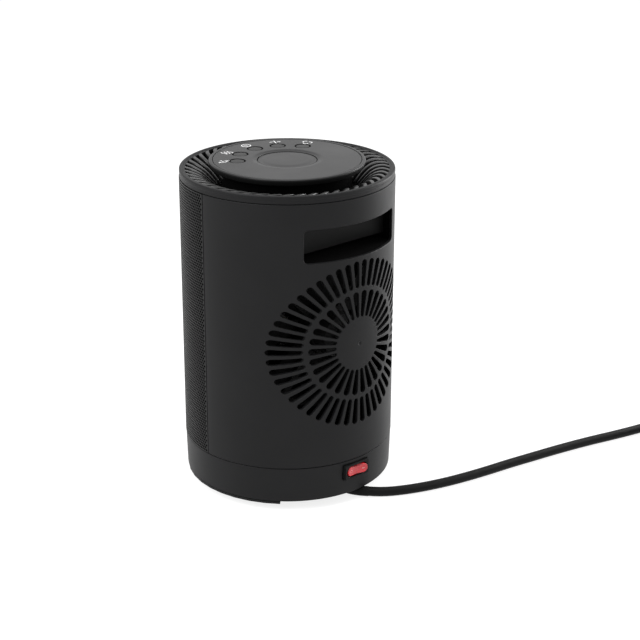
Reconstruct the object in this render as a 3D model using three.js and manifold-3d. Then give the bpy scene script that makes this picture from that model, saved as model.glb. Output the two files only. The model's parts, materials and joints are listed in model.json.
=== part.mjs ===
// Ceramic fan heater: a round body that swings on a foot plate, with a radial air intake and a
// handle recess in the rear shell, a mesh front, a top ring of swirled vanes and a control disc.
// Units are millimetres. +Z is up, the front (warm air) faces -Y and the rear faces +Y. The origin
// is on the axis of the round body, on the surface that the heater stands on.
import * as THREE from "three";
import { mergeVertices } from "three/addons/utils/BufferGeometryUtils.js";
import Module from "manifold-3d";

const wasm = await Module();
wasm.setup();

// ---------------------------------------------------------------- driving dimensions
const fit = 0.3; // gap between pieces that touch
const seam = 0.3; // visible gap between the outer mouldings

// outer body
const bodyRadius = 80.5;
const shellWall = 2.2;
const bodyHeight = 204.3; // rear shell and mesh, from seam to seam
const meshThickness = 0.8;

// stand: foot plate, feet and swing bearing
const footRadius = 7;
const footSeat = 1.5; // depth of the feet's seats in the plate
const footInset = 19.5; // centres of the feet inside the body's radius
const rimThickness = 1.8;
const plateThickness = 4.8;
const plateDiscInset = 10.5; // thick middle of the plate inside the body's radius
const swingGap = 0.4; // between foot plate rim and base ring
const sweepMargin = 0.8; // the rim is cut away from here inside the relief, for the lead to swing
const sweepHalfAngle = 45.5;
const hubRadius = 7.4;
const pivotHeadRadius = 4.5;
const hubRunningGap = 0.6;
const glideMargin = 2.7; // glide ring outside the travel of the crank pin
const glideWidth = 3.4;
const glideThickness = 0.8;

// base ring
const baseInset = 0.2; // top edge of the base inside the shell radius
const baseTaper = 0.8;
const baseWall = 2.5;
const floorThickness = 2.4;
const lipHeight = 3;
const lipThickness = 1.4;
const lipGap = 0.5;

// swing drive: a crank pin on the base works in a radial slot of the foot plate
const swingSine = 17.8 / 31; // of the swing to each side: the crank over its distance from the pivot
const crankPin = 2.5;
const pinPlay = 1.4; // the slot is wider than the pin by this on each side
const crankDisc = 2;
const swingMotorHeight = 16;
const swingMotorClearance = 2; // between the motor and the head of the pivot screw

// mains switch in the base
const switchWidth = 23.6;
const switchHeight = 11.8;
const switchOffset = 2; // to the right of the middle
const switchProud = 1.6; // face of the bezel in front of the wall
const switchGap = 0.4; // between the bezel and the edge of its window
const switchFlange = 2; // thickness of the bezel's flange
const switchLand = { side: 2, edge: 0.9 }; // flange past the window on each side
const switchSill = 4.7; // base wall under the switch's flange, above the floor of the base
const switchRoof = 1.9; // base wall above the switch's flange
const rockerLength = 18.6;
const rockerHeight = 7.8;
const rockerTilt = 6; // degrees, pressed on its off side
const rockerProud = 0.9;

// mains lead
const leadDiameter = 7.4;
const leadHeadroom = 0.8; // under the base ring
const reliefInset = 22; // inner end of the relief inside the body's radius
const reliefWall = 1.5; // rubber around the lead
const reliefLength = 26;
const reliefAboveTable = 0.5;
const reliefEnd = 0.15; // wall of the relief at its outer end
const reliefBlock = { width: 11, depth: 9, margin: 1.5 }; // elbow that rises through the base's floor
const reliefCollar = { past: 1.6, thickness: 1.5 }; // holds the elbow on the base's floor
const coilPlace = { left: 300, behind: 119.5 }; // centre, from the axis and from the rear wall
const coilOuter = 48.5; // centre line of the outermost turn
const coilInner = 30.8;

// rear shell
const handleWidth = 86;
const handleHeight = 24.8;
const handleDrop = 19.3; // upper edge of the opening below the top of the shell
const handleCorner = 3;
const pocketInset = 22.5; // back panel inside the body's radius
const undercutInset = 34.5; // back of the hollow under the back panel
const undercutHeight = 2.7; // lower edge of the back panel above the opening's lower edge
const pocketWall = 1.8;
const pocketMargin = 0.5; // the pocket is this much larger than the opening all round
const pocketClearance = 5; // between the pocket and the fan shroud

// fan and its grille, centred on one axis
const fanInset = 24.5; // blade tips inside the body's radius
const fanTip = 1.8; // clearance at the blade tips
const grilleMargin = 8.2; // the grille reaches past the blade tips
const grilleHub = 20.5;
const grilleLand = 2.9; // plain ring between the two rings of slots
const outerSlotLength = 20.6;
const innerSlotCount = 30;
const outerSlotCount = 50;
const innerSlotWidth = { near: 2.6, far: 5.1 };
const outerSlotWidth = { near: 3.3, far: 4.8 };
const fanBlades = 7;
const fanFront = 16.5;
const fanDepth = 19;
const fanHub = 18;
const shroudWall = 2.4;
const armThickness = 3.4;
const motorRadius = 17;
const motorGap = 1.1; // between the impeller and the motor
const motorLength = 24;
const motorSeat = 7.4; // depth of the motor's front inside the shroud
const shaftRadius = 2.4;
const bossInset = 8; // screw bosses, each way, inside the blade tips
const bossRadius = 4;

// heating element and outlet
const heaterBack = -20;
const heaterDepth = 18;
const heaterInset = 24.5; // sides of the element inside the body's radius
const heaterFrame = 6.8;
const heaterBand = 8.9; // frame above and below the fins
const finPacks = 4;
const finHeight = 15;
const finFolds = 9;
const finFoil = 0.6;
const barThickness = 2.6;
const ductWall = 1.8;
const ductGap = 1;
const ductClearance = 2.3; // between the duct and the front frame
const outletMargin = 3; // the outlet is wider than the element on each side
const outletHeight = 112;
const outletBars = 5;
const outletBar = 2.6;
const frameWall = 2;
const pillarRadius = 4;
const pillarClearance = 0.5; // between a pillar and the base's lip

// top ring and control disc
const ringHeight = 6;
const ringInset = 0.3;
const vaneCount = 50;
const vaneShare = 0.55; // part of the pitch that is vane
const vaneThickness = 3;
const vaneRimInset = 4.5; // outer ends of the vanes inside the body's radius
const vaneHubInset = 29.5;
const crestInset = 7;
const dishDepth = 17.5; // from the crest down to the inner end of the vanes
const swirlAngle = 7.7; // degrees that a vane turns from rim to hub
const vanePhase = 2.4; // degrees
const discInset = 21.5;
const discThickness = 4.9;
const discGap = 0.7; // underside of the disc above the ring's rim
const skirtInset = 32.5;
const skirtWall = 2.4;
const panelInset = 3.8; // panel inside the disc's edge
const panelThickness = 1.4;
const keyRadius = 6;
const keyInset = 10.7; // centres of the keys inside the skirt
const centerInset = 15.2; // edge of the centre button inside the keys' circle
const keySpacing = 29.6; // degrees
const keyCount = 5;
const keyTravel = 1;
const boardThickness = 1.6;
const boardPostInset = 10;

// ---------------------------------------------------------------- levels and radii that follow
const baseBottom = leadDiameter + leadHeadroom;
const feetProud = baseBottom - swingGap - rimThickness;
const plateTop = feetProud + plateThickness;
const floorBottom = plateTop + glideThickness + 2 * fit;
const floorTop = floorBottom + floorThickness;

const leadRadius = leadDiameter / 2;
const reliefRadius = leadRadius + reliefWall;
const leadHeight = reliefAboveTable + reliefRadius; // inside the relief
const flangeSide = switchWidth / 2 + switchGap + switchLand.side;
const flangeEdge = switchHeight / 2 + switchGap + switchLand.edge;
const switchCentre = floorTop + switchSill + flangeEdge;

const baseTop = switchCentre + flangeEdge + switchRoof;
const bodyBottom = baseTop + seam;
const bodyTop = bodyBottom + bodyHeight;
const ringBottom = bodyTop + seam;
const ringTop = ringBottom + ringHeight;
const discBottom = ringTop + discGap;
const discTop = discBottom + discThickness;

const handleTop = bodyTop - handleDrop;
const handleBottom = handleTop - handleHeight;
const pocketLip = handleBottom + undercutHeight;
const pocketLow = handleBottom - pocketMargin;
const pocketHigh = handleTop + pocketMargin;

const shellInner = bodyRadius - shellWall;
const baseTopRadius = bodyRadius - baseInset;
const baseBottomRadius = baseTopRadius - baseTaper;
const baseInner = baseBottomRadius - baseWall;
const frameOuter = bodyRadius - meshThickness - fit;
const frameInner = frameOuter - frameWall;
const lipOuter = frameInner - lipGap;
const lipInner = lipOuter - lipThickness;
const plateRadius = baseBottomRadius - 0.3;
const plateDiscRadius = bodyRadius - plateDiscInset;
const footCircle = bodyRadius - footInset;
const pillarCircle = lipInner - pillarClearance - pillarRadius;

// swing drive, inside the glide ring, which lies inside the sweep of the relief
const reliefInner = bodyRadius - reliefInset;
const sweepInner = reliefInner - sweepMargin;
const glideOuter = sweepInner - fit;
const glideInner = glideOuter - glideWidth;
const crankCentre = (glideInner - glideMargin - crankPin) / (1 + swingSine);
const crankRadius = crankCentre * swingSine;
const crankHole = crankRadius + crankPin + 1;
const swingMotorRadius = crankCentre - pivotHeadRadius - swingMotorClearance;

const pocketBack = bodyRadius - pocketInset;
const undercutBack = bodyRadius - undercutInset;

const fanRadius = bodyRadius - fanInset;
const shroudInner = fanRadius + fanTip;
const shroudOuter = shroudInner + shroudWall;
const fanHeight = pocketLow - pocketWall - pocketClearance - shroudOuter;
const bossOffset = fanRadius - bossInset;
const motorFront = fanFront + fanDepth + motorGap;
const shroudBack = motorFront + motorSeat;
const grilleRadius = fanRadius + grilleMargin;
const grilleMiddle = grilleRadius - outerSlotLength;
const heaterWidth = 2 * (bodyRadius - heaterInset);
const finStack = finPacks * finHeight + (finPacks - 1) * barThickness + 2 * finPacks * fit;
const heaterHeight = finStack + 2 * heaterBand;
const outletWidth = heaterWidth + 2 * outletMargin;

const vaneOuter = bodyRadius - vaneRimInset;
const vaneInner = bodyRadius - vaneHubInset;
const crestRadius = bodyRadius - crestInset;
const discRadius = bodyRadius - discInset;
const panelRadius = discRadius - panelInset;
const skirtRadius = bodyRadius - skirtInset;
const keyCircle = skirtRadius - keyInset;
const centerButtonRadius = keyCircle - centerInset;

// switch bezel: a flange that seats on the flat inside of the base wall, behind its window
const flangeFront = Math.sqrt(baseInner ** 2 - (flangeSide + switchOffset) ** 2) - 1;
const switchFace = baseTopRadius + switchProud;
const rockerPivot = switchFace - 3.2;

// ---------------------------------------------------------------- materials
const plastic = (color, roughness) =>
  new THREE.MeshStandardMaterial({ color, roughness, metalness: 0 });
const metal = (color, roughness) =>
  new THREE.MeshStandardMaterial({ color, roughness, metalness: 1 });
const materials = {
  housing: plastic(0x1c1c1d, 0.55),
  disc: plastic(0x2a2a2c, 0.4),
  inner: plastic(0x2b2b2b, 0.7),
  mesh: metal(0x242424, 0.5),
  rubber: plastic(0x161616, 0.9),
  rocker: plastic(0xc01820, 0.25),
  lead: plastic(0x141414, 0.5),
  steel: metal(0x9a9a9a, 0.35),
  aluminium: metal(0xc4c6c8, 0.4),
  ceramic: plastic(0xd8d2c4, 0.6),
  board: plastic(0x1f5a34, 0.5),
  brass: metal(0xc8a45a, 0.3),
};

// ---------------------------------------------------------------- solids
const radians = THREE.MathUtils.degToRad;

/** Index arrays of a closed geometry with shared vertices, faces pointing out. */
function closedArrays(geometry) {
  const bare = new THREE.BufferGeometry();
  bare.setAttribute("position", geometry.getAttribute("position"));
  bare.setIndex(geometry.getIndex());
  const merged = mergeVertices(bare, 1e-4);
  const vertices = Float32Array.from(merged.getAttribute("position").array);
  const corners = merged.getIndex().array;
  const triangles = [];
  let volume = 0;
  const [a, b, c] = [new THREE.Vector3(), new THREE.Vector3(), new THREE.Vector3()];
  for (let i = 0; i < corners.length; i += 3) {
    const [p, q, r] = [corners[i], corners[i + 1], corners[i + 2]];
    if (p === q || q === r || r === p) continue;
    a.fromArray(vertices, 3 * p);
    b.fromArray(vertices, 3 * q);
    c.fromArray(vertices, 3 * r);
    volume += a.dot(b.cross(c));
    triangles.push(p, q, r);
  }
  return { vertices, triangles: volume < 0 ? triangles.reverse() : triangles };
}

/** A manifold-3d solid made from a closed three.js geometry. */
function solid(geometry) {
  const { vertices, triangles } = closedArrays(geometry);
  return new wasm.Manifold(
    new wasm.Mesh({
      numProp: 3,
      vertProperties: vertices,
      triVerts: Uint32Array.from(triangles),
    }),
  );
}

/** A three.js geometry made from a manifold-3d solid. */
function toGeometry(body) {
  const { vertProperties, triVerts } = body.getMesh();
  const geometry = new THREE.BufferGeometry();
  geometry.setAttribute("position", new THREE.BufferAttribute(vertProperties, 3));
  geometry.setIndex(new THREE.BufferAttribute(triVerts, 1));
  geometry.computeVertexNormals();
  return geometry;
}

const join = (first, ...rest) => rest.reduce((whole, next) => whole.add(next), first);
const cut = (first, ...rest) => rest.reduce((whole, next) => whole.subtract(next), first);

/** Turns a closed profile of [radius, height] points around the Z axis. */
function revolve(profile, segments = 40) {
  const points = profile.map(([r, z]) => new THREE.Vector2(r, z));
  if (points[0].x > 0 || points.at(-1).x > 0) points.push(points[0].clone());
  return solid(new THREE.LatheGeometry(points, segments).rotateX(Math.PI / 2));
}

/** Extrudes a shape drawn in X and Y from z = low to z = high. */
function prismZ(shape, low, high, curveSegments = 8) {
  const options = { depth: high - low, bevelEnabled: false, curveSegments };
  return solid(new THREE.ExtrudeGeometry(shape, options).translate(0, 0, low));
}

/** Extrudes a shape drawn in X and Z from y = low to y = high. */
function prismY(shape, low, high, curveSegments = 8) {
  const options = { depth: high - low, bevelEnabled: false, curveSegments };
  const geometry = new THREE.ExtrudeGeometry(shape, options);
  return solid(geometry.rotateX(Math.PI / 2).translate(0, high, 0));
}

function box(x0, x1, y0, y1, z0, z1) {
  const geometry = new THREE.BoxGeometry(x1 - x0, y1 - y0, z1 - z0);
  return solid(geometry.translate((x0 + x1) / 2, (y0 + y1) / 2, (z0 + z1) / 2));
}

function cylinderZ(radius, low, high, x = 0, y = 0, segments = 16) {
  const geometry = new THREE.CylinderGeometry(radius, radius, high - low, segments);
  return solid(geometry.rotateX(Math.PI / 2).translate(x, y, (low + high) / 2));
}

function cylinderY(radius, low, high, x = 0, z = 0, segments = 16) {
  const geometry = new THREE.CylinderGeometry(radius, radius, high - low, segments);
  return solid(geometry.translate(x, (low + high) / 2, z));
}

function roundedRectangle(width, height, radius, x = 0, y = 0) {
  const [w, h] = [width / 2, height / 2];
  const quarter = Math.PI / 2;
  const shape = new THREE.Shape();
  shape.absarc(x + w - radius, y + h - radius, radius, 0, quarter);
  shape.absarc(x - w + radius, y + h - radius, radius, quarter, 2 * quarter);
  shape.absarc(x - w + radius, y - h + radius, radius, 2 * quarter, 3 * quarter);
  shape.absarc(x + w - radius, y - h + radius, radius, 3 * quarter, 4 * quarter);
  return shape;
}

/** A sector of a ring between two radii and two angles in degrees. */
function sector(inner, outer, from, to) {
  const shape = new THREE.Shape();
  shape.absarc(0, 0, outer, radians(from), radians(to));
  shape.absarc(0, 0, inner, radians(to), radians(from), true);
  return shape;
}

/** A screw along Z with its head on top, or below when down is true. */
function screw(headRadius, headHeight, shankRadius, shankLength) {
  const head = cylinderZ(headRadius, 0, headHeight, 0, 0, 8);
  return join(head, cylinderZ(shankRadius, -shankLength, 0.1, 0, 0, 6));
}

// ---------------------------------------------------------------- scene graph
const heater = new THREE.Group();
const parts = {};
for (const name of ["stand", "base", "body", "fan", "element", "head", "lead"]) {
  parts[name] = new THREE.Group();
  heater.add(parts[name]);
}
parts.fan.position.z = fanHeight;
parts.element.position.z = fanHeight;
parts.head.position.z = ringBottom;

function place(group, name, shape, material, position = [0, 0, 0]) {
  const geometry = shape.isBufferGeometry ? shape : toGeometry(shape);
  const mesh = new THREE.Mesh(geometry, material);
  mesh.name = name;
  mesh.position.set(...position);
  group.add(mesh);
  return mesh;
}

/** Point on a circle in the XY plane at an angle in degrees. */
function polar(radius, angle) {
  return [radius * Math.cos(radians(angle)), radius * Math.sin(radians(angle))];
}

// ---------------------------------------------------------------- stand
const footAngles = [-132, -48, 30, 150];
const footHeight = feetProud + footSeat - fit;

function footPlate() {
  const hubTop = floorTop + fit;
  let plate = revolve([
    [0, feetProud],
    [plateRadius, feetProud],
    [plateRadius, feetProud + rimThickness],
    [plateDiscRadius, feetProud + rimThickness],
    [plateDiscRadius, plateTop],
    [hubRadius, plateTop],
    [hubRadius, hubTop],
    [0, hubTop],
  ]);
  for (const angle of footAngles) {
    const [x, y] = polar(footCircle, angle);
    const top = feetProud + footSeat;
    plate = cut(plate, cylinderZ(footRadius + fit, feetProud - 1, top, x, y, 12));
  }
  const swept = sector(sweepInner, bodyRadius, 90 - sweepHalfAngle, 90 + sweepHalfAngle);
  const slotWidth = 2 * (crankPin + pinPlay);
  const slotFrom = hubRadius + 3;
  const slotTo = crankCentre + crankHole;
  const slotMiddle = -(slotFrom + slotTo) / 2;
  const slot = roundedRectangle(slotWidth, slotTo - slotFrom, slotWidth / 2 - 0.01, 0, slotMiddle);
  return cut(
    plate,
    prismZ(swept, 0, plateTop + 1, 8),
    prismZ(slot, feetProud + 1.2, plateTop + 1, 3),
    cylinderZ(2 + fit, feetProud + 1.2, hubTop + 1, 0, 0, 8),
  );
}

function addStand() {
  place(parts.stand, "foot_plate", footPlate(), materials.housing);
  footAngles.forEach((angle, i) => {
    const foot = cylinderZ(footRadius, 0, footHeight, 0, 0, 12);
    const [x, y] = polar(footCircle, angle);
    place(parts.stand, `rubber_foot_${i + 1}`, foot, materials.rubber, [x, y, 0]);
  });
  const low = plateTop + fit;
  const glide = revolve([
    [glideInner, low],
    [glideOuter, low],
    [glideOuter, low + glideThickness],
    [glideInner, low + glideThickness],
  ], 24);
  place(parts.stand, "swing_glide_ring", glide, materials.ceramic);

  const washerLow = floorTop + 2 * fit;
  const washerThickness = 1.5;
  const washer = revolve([
    [2 + fit, washerLow],
    [hubRadius + 4.6, washerLow],
    [hubRadius + 4.6, washerLow + washerThickness],
    [2 + fit, washerLow + washerThickness],
  ], 12);
  place(parts.stand, "pivot_washer", washer, materials.steel);
  const screwSeat = washerLow + washerThickness + fit;
  const pivotScrew = screw(pivotHeadRadius, 2.4, 2, screwSeat - feetProud - 2);
  place(parts.stand, "pivot_screw", pivotScrew, materials.steel, [0, 0, screwSeat]);
}

// ---------------------------------------------------------------- base
const switchBottom = switchCentre - switchHeight / 2 - switchGap;
const switchTop = switchCentre + switchHeight / 2 + switchGap;
const frontPillars = [-140, -40];
const rearPillars = [32, 148];
const pillarBossHeight = 2;
const pillarFoot = floorTop + pillarBossHeight + fit;
const motorPostX = swingMotorRadius + 6.5;
const motorLow = floorTop + 2.5;
// power board, between the axis and the pillar at its right
const powerBoardSize = { left: 14, depth: 38, margin: 4, clearance: 2.2, height: 12 };
const boardRight = polar(pillarCircle, rearPillars[0])[0] - pillarRadius - powerBoardSize.clearance;
const boardPosts = [
  [powerBoardSize.left + powerBoardSize.margin, powerBoardSize.margin],
  [boardRight - powerBoardSize.margin, powerBoardSize.margin],
  [powerBoardSize.left + powerBoardSize.margin, powerBoardSize.depth - powerBoardSize.margin],
  [boardRight - powerBoardSize.margin, powerBoardSize.depth - powerBoardSize.margin],
];
const tipOverPlace = { x: -44, y: 14 };
const pillarScrewLength = 12;
const powerBoardLow = floorTop + 5.6;

function baseRing() {
  let ring = revolve([
    [hubRadius + hubRunningGap, floorBottom],
    [baseInner, floorBottom],
    [baseInner, baseBottom],
    [baseBottomRadius - 0.4, baseBottom],
    [baseBottomRadius, baseBottom + 0.4],
    [baseTopRadius, baseTop],
    [lipOuter, baseTop],
    [lipOuter, baseTop + lipHeight],
    [lipInner, baseTop + lipHeight],
    [lipInner, baseTop - 1],
    [baseInner, baseTop - 1 - (baseInner - lipInner)],
    [baseInner, floorTop],
    [hubRadius + hubRunningGap, floorTop],
  ]);
  for (const angle of [...frontPillars, ...rearPillars]) {
    const [x, y] = polar(pillarCircle, angle);
    const boss = cylinderZ(pillarRadius, floorTop - 1, floorTop + pillarBossHeight, x, y, 12);
    const recess = cylinderZ(3.5, floorBottom - 1, floorBottom + 2, x, y, 8);
    const hole = cylinderZ(1.9, floorBottom, pillarFoot, x, y, 8);
    ring = cut(join(ring, boss), recess, hole);
  }
  for (const x of [-motorPostX, motorPostX]) {
    const post = cylinderZ(4, floorTop - 1, motorLow - fit, x, -crankCentre, 10);
    const hole = cylinderZ(1.8, floorBottom + 1, motorLow, x, -crankCentre, 8);
    ring = cut(join(ring, post), hole);
  }
  for (const [x, y] of boardPosts) {
    ring = join(ring, cylinderZ(2.5, floorTop - 1, powerBoardLow - fit, x, y, 8));
  }
  const window = box(
    switchOffset - switchWidth / 2 - switchGap, switchOffset + switchWidth / 2 + switchGap,
    baseInner - 12, bodyRadius, switchBottom, switchTop,
  );
  const { width, depth } = reliefBlock;
  const passage = box(
    -width / 2 - fit, width / 2 + fit, reliefInner - fit, reliefInner + depth + fit,
    floorBottom - 1, floorTop + 1,
  );
  const crankOpening = cylinderZ(crankHole, floorBottom - 1, floorTop + 1, 0, -crankCentre, 24);
  return cut(ring, window, passage, crankOpening);
}

function swingCrank() {
  const discLow = floorBottom + 0.2;
  const discHigh = discLow + crankDisc;
  const disc = cylinderZ(crankHole - 0.7, discLow, discHigh, 0, 0, 24);
  const hub = cylinderZ(5, discHigh - 0.5, motorLow - fit, 0, 0, 12);
  const pin = cylinderZ(crankPin, feetProud + 1.8, discLow + 0.5, 0, -crankRadius, 12);
  return join(disc, hub, pin);
}

function swingMotor() {
  const can = cylinderZ(swingMotorRadius, motorLow, motorLow + swingMotorHeight, 0, 0, 24);
  const ears = roundedRectangle(2 * motorPostX + 8, 9, 4);
  const plate = prismZ(ears, motorLow, motorLow + 1, 2);
  const holes = [-motorPostX, motorPostX].map((x) => cylinderZ(1.8, 0, motorLow + 2, x, 0, 8));
  const canTop = motorLow + swingMotorHeight;
  const cap = cylinderZ(6, canTop - 0.5, canTop + 1.5, 0, 0, 12);
  return cut(join(can, plate, cap), ...holes);
}

function switchBezel() {
  const [w, h] = [switchWidth / 2, switchHeight / 2];
  const face = box(-w, w, flangeFront - 1, switchFace, -h, h);
  const [back, front] = [flangeFront - switchFlange, flangeFront];
  const flange = box(-flangeSide, flangeSide, back, front, -flangeEdge, flangeEdge);
  const mouth = roundedRectangle(rockerLength + 1.6, rockerHeight + 0.9, rockerHeight / 2 + 0.4);
  return cut(join(face, flange), prismY(mouth, flangeFront - 5, switchFace + 1, 5));
}

function switchBody() {
  const back = flangeFront - switchFlange - fit;
  const [w, h] = [switchWidth / 2 - 1.2, switchHeight / 2];
  let body = box(-w, w, back - 12, back, -h, h);
  for (const x of [-6.5, 0, 6.5]) {
    body = join(body, box(x - 0.4, x + 0.4, back - 19, back - 11.5, -2.4, 2.4));
  }
  return body;
}

/** The rocker's V-shaped face, drawn from above and trimmed to a pill outline. */
function rocker() {
  const half = rockerLength / 2;
  const back = -1.6;
  const front = switchFace + rockerProud - rockerPivot;
  const shape = new THREE.Shape();
  shape.moveTo(-half, back);
  shape.lineTo(half, back);
  shape.lineTo(half, front);
  shape.quadraticCurveTo(half * 0.45, front - 0.5, 0, front - 1.5);
  shape.quadraticCurveTo(-half * 0.45, front - 0.5, -half, front);
  const blank = prismZ(shape, -rockerHeight, rockerHeight, 4);
  const outline = roundedRectangle(rockerLength, rockerHeight, rockerHeight / 2 - 0.01);
  return blank.intersect(prismY(outline, back - 1, front + 1, 5));
}

function tipOverSwitch() {
  const body = box(-8, 8, -6, 6, 0, 17);
  const tabs = box(-12, 12, -3.5, 3.5, 0, 1.6);
  return join(body, tabs);
}

function powerBoard() {
  const { left, depth, height } = powerBoardSize;
  const width = boardRight - left;
  const block = (x0, x1, y0, y1, top) =>
    box(left + x0 * width, left + x1 * width, y0 * depth, y1 * depth, 1, 1 + top * height);
  const board = box(left, boardRight, 0, depth, 0, boardThickness);
  const relay = block(0.1, 0.475, 0.53, 0.9, 1);
  const choke = cylinderZ(0.15 * width, 1, 1 + 0.85 * height, left + 0.75 * width, 0.7 * depth, 12);
  const capacitor = block(0.58, 0.9, 0.13, 0.32, 0.9);
  const terminals = block(0.1, 0.475, 0.08, 0.29, 0.7);
  return join(board, relay, choke, capacitor, terminals);
}

function addBase() {
  const group = parts.base;
  place(group, "base_ring", baseRing(), materials.housing);
  place(group, "swing_crank", swingCrank(), materials.inner, [0, -crankCentre, 0]);
  place(group, "swing_motor", swingMotor(), materials.steel, [0, -crankCentre, 0]);
  const seat = motorLow + 1 + fit;
  [-motorPostX, motorPostX].forEach((x, i) => {
    const fixing = screw(3, 1.8, 1.5, seat - floorBottom - 1.4);
    place(group, `motor_screw_${i + 1}`, fixing, materials.steel, [x, -crankCentre, seat]);
  });
  place(group, "switch_bezel", switchBezel(), materials.housing, [switchOffset, 0, switchCentre]);
  place(group, "switch_body", switchBody(), materials.inner, [switchOffset, 0, switchCentre]);
  const keyAt = [switchOffset, rockerPivot, switchCentre];
  const key = place(group, "rocker", rocker(), materials.rocker, keyAt);
  key.rotation.z = -radians(rockerTilt);
  const tipOver = [tipOverPlace.x, tipOverPlace.y, floorTop + fit];
  place(group, "tip_over_switch", tipOverSwitch(), materials.inner, tipOver);
  place(group, "power_board", powerBoard(), materials.board, [0, 0, powerBoardLow]);
  [...frontPillars, ...rearPillars].forEach((angle, i) => {
    const [x, y] = polar(pillarCircle, angle);
    const fixing = screw(3.1, 1.5, 1.5, pillarScrewLength);
    const seatLevel = floorBottom + 2 - fit;
    const mesh = place(group, `base_screw_${i + 1}`, fixing, materials.steel, [x, y, seatLevel]);
    mesh.rotation.x = Math.PI;
  });
}

// ---------------------------------------------------------------- body
const envelope = cylinderZ(bodyRadius - 1, bodyBottom, bodyTop, 0, 0, 40);
const halfSeam = (seam / 2 / bodyRadius) * (180 / Math.PI); // half the side seam, in degrees

/** Radial slot with rounded ends that widens outwards, drawn along +X. */
function slotShape({ from, to, width }) {
  const ends = [
    [from + width.near / 2, width.near / 2, 90, 2],
    [to - width.far / 2, width.far / 2, -90, 3],
  ];
  const points = ends.flatMap(([x, radius, start, steps]) =>
    Array.from({ length: steps + 1 }, (_, i) => {
      const [dx, dy] = polar(radius, start + (180 * i) / steps);
      return new THREE.Vector2(x + dx, dy);
    }),
  );
  return new THREE.Shape(points);
}

/** Both rings of intake slots, cut straight back through the rear wall. */
function cutIntake(shell) {
  const rings = [
    { count: innerSlotCount, from: grilleHub, to: grilleMiddle - grilleLand, width: innerSlotWidth },
    { count: outerSlotCount, from: grilleMiddle, to: grilleRadius, width: outerSlotWidth },
  ];
  for (const ring of rings) {
    const options = { depth: bodyRadius, bevelEnabled: false };
    const geometry = new THREE.ExtrudeGeometry(slotShape(ring), options);
    for (let i = 0; i < ring.count; i++) {
      const slot = geometry.clone().rotateZ((2 * Math.PI * i) / ring.count);
      slot.rotateX(Math.PI / 2).translate(0, bodyRadius + 10, fanHeight);
      shell = cut(shell, solid(slot));
    }
  }
  return shell;
}

/** Screw pillar that hangs from the wall of the body into the base. */
function pillar(angle, wallRadius) {
  const top = bodyBottom + lipHeight + 18;
  const post = cylinderZ(pillarRadius, pillarFoot, top, pillarCircle, 0, 12);
  const rib = box(pillarCircle, wallRadius, -1.5, 1.5, bodyBottom + lipHeight + 1, top);
  const hole = cylinderZ(1.8, pillarFoot - 1, pillarFoot + pillarScrewLength + 2, pillarCircle, 0, 8);
  return cut(join(post, rib), hole).rotate([0, 0, angle]);
}

function rearShell() {
  const wall = sector(shellInner, bodyRadius, halfSeam, 180 - halfSeam);
  let shell = cutIntake(prismZ(wall, bodyBottom, bodyTop, 10));
  const opening = roundedRectangle(
    handleWidth, handleTop - handleBottom, handleCorner, 0, (handleTop + handleBottom) / 2,
  );
  shell = cut(shell, prismY(opening, 20, bodyRadius + 10, 3));
  const dimple = new THREE.ConeGeometry(1.6, 2.4, 8);
  shell = cut(shell, solid(dimple.rotateX(Math.PI).translate(0, bodyRadius, fanHeight)));
  for (const x of [-bossOffset, bossOffset]) {
    for (const z of [-bossOffset, bossOffset]) {
      const boss = cylinderY(bossRadius, shroudBack - 0.7 + fit, bodyRadius, x, fanHeight + z, 10);
      const peg = cylinderY(1.7, shroudBack - 5.5, shroudBack, x, fanHeight + z, 8);
      shell = join(shell, boss.intersect(envelope), peg);
    }
  }
  for (const angle of rearPillars) shell = join(shell, pillar(angle, shellInner + 0.8));
  return shell;
}

/** Finger pocket behind the handle opening: a hollow box trimmed to the curve of the shell. */
function handlePocket() {
  const [w, wall] = [handleWidth / 2 + pocketMargin, pocketWall];
  const [low, high] = [pocketLow, pocketHigh];
  const seat = cylinderZ(shellInner - fit, low - 5, high + 5, 0, 0, 72);
  const outside = join(
    box(-w - wall, w + wall, pocketBack - wall, bodyRadius, low - wall, high + wall),
    box(-w - wall, w + wall, undercutBack - wall, pocketBack, low - wall, pocketLip + 4),
  );
  const hollow = box(-w, w, pocketBack, bodyRadius, low, high);
  const undercut = box(-w, w, undercutBack, pocketBack + 1, low, pocketLip);
  return cut(outside.intersect(seat), hollow, undercut);
}

function frontMesh() {
  const wall = sector(bodyRadius - meshThickness, bodyRadius, 180 + halfSeam, 360 - halfSeam);
  return prismZ(wall, bodyBottom + fit, bodyTop - fit, 10);
}

/** Inner front wall with the barred air outlet; the mesh lies on it. */
function frontFrame() {
  const wall = sector(frameInner, frameOuter, 180 + 3 * halfSeam, 360 - 3 * halfSeam);
  let frame = prismZ(wall, bodyBottom, bodyTop, 10);
  const pitch = (outletHeight + outletBar) / (outletBars + 1);
  for (let i = 0; i <= outletBars; i++) {
    const middle = fanHeight - outletHeight / 2 - outletBar / 2 + pitch * (i + 0.5);
    const half = (pitch - outletBar) / 2;
    frame = cut(
      frame,
      box(-outletWidth / 2, outletWidth / 2, -bodyRadius - 1, -20, middle - half, middle + half),
    );
  }
  for (const angle of frontPillars) frame = join(frame, pillar(angle, frameInner + 0.8));
  return frame;
}

function addBody() {
  place(parts.body, "rear_shell", rearShell(), materials.housing);
  place(parts.body, "handle_pocket", handlePocket(), materials.inner);
  place(parts.body, "front_mesh", frontMesh(), materials.mesh);
  place(parts.body, "front_frame", frontFrame(), materials.inner);
}

// ---------------------------------------------------------------- fan
const shroudFront = fanFront - 2.5;
const ductBack = shroudFront - fit;

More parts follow.
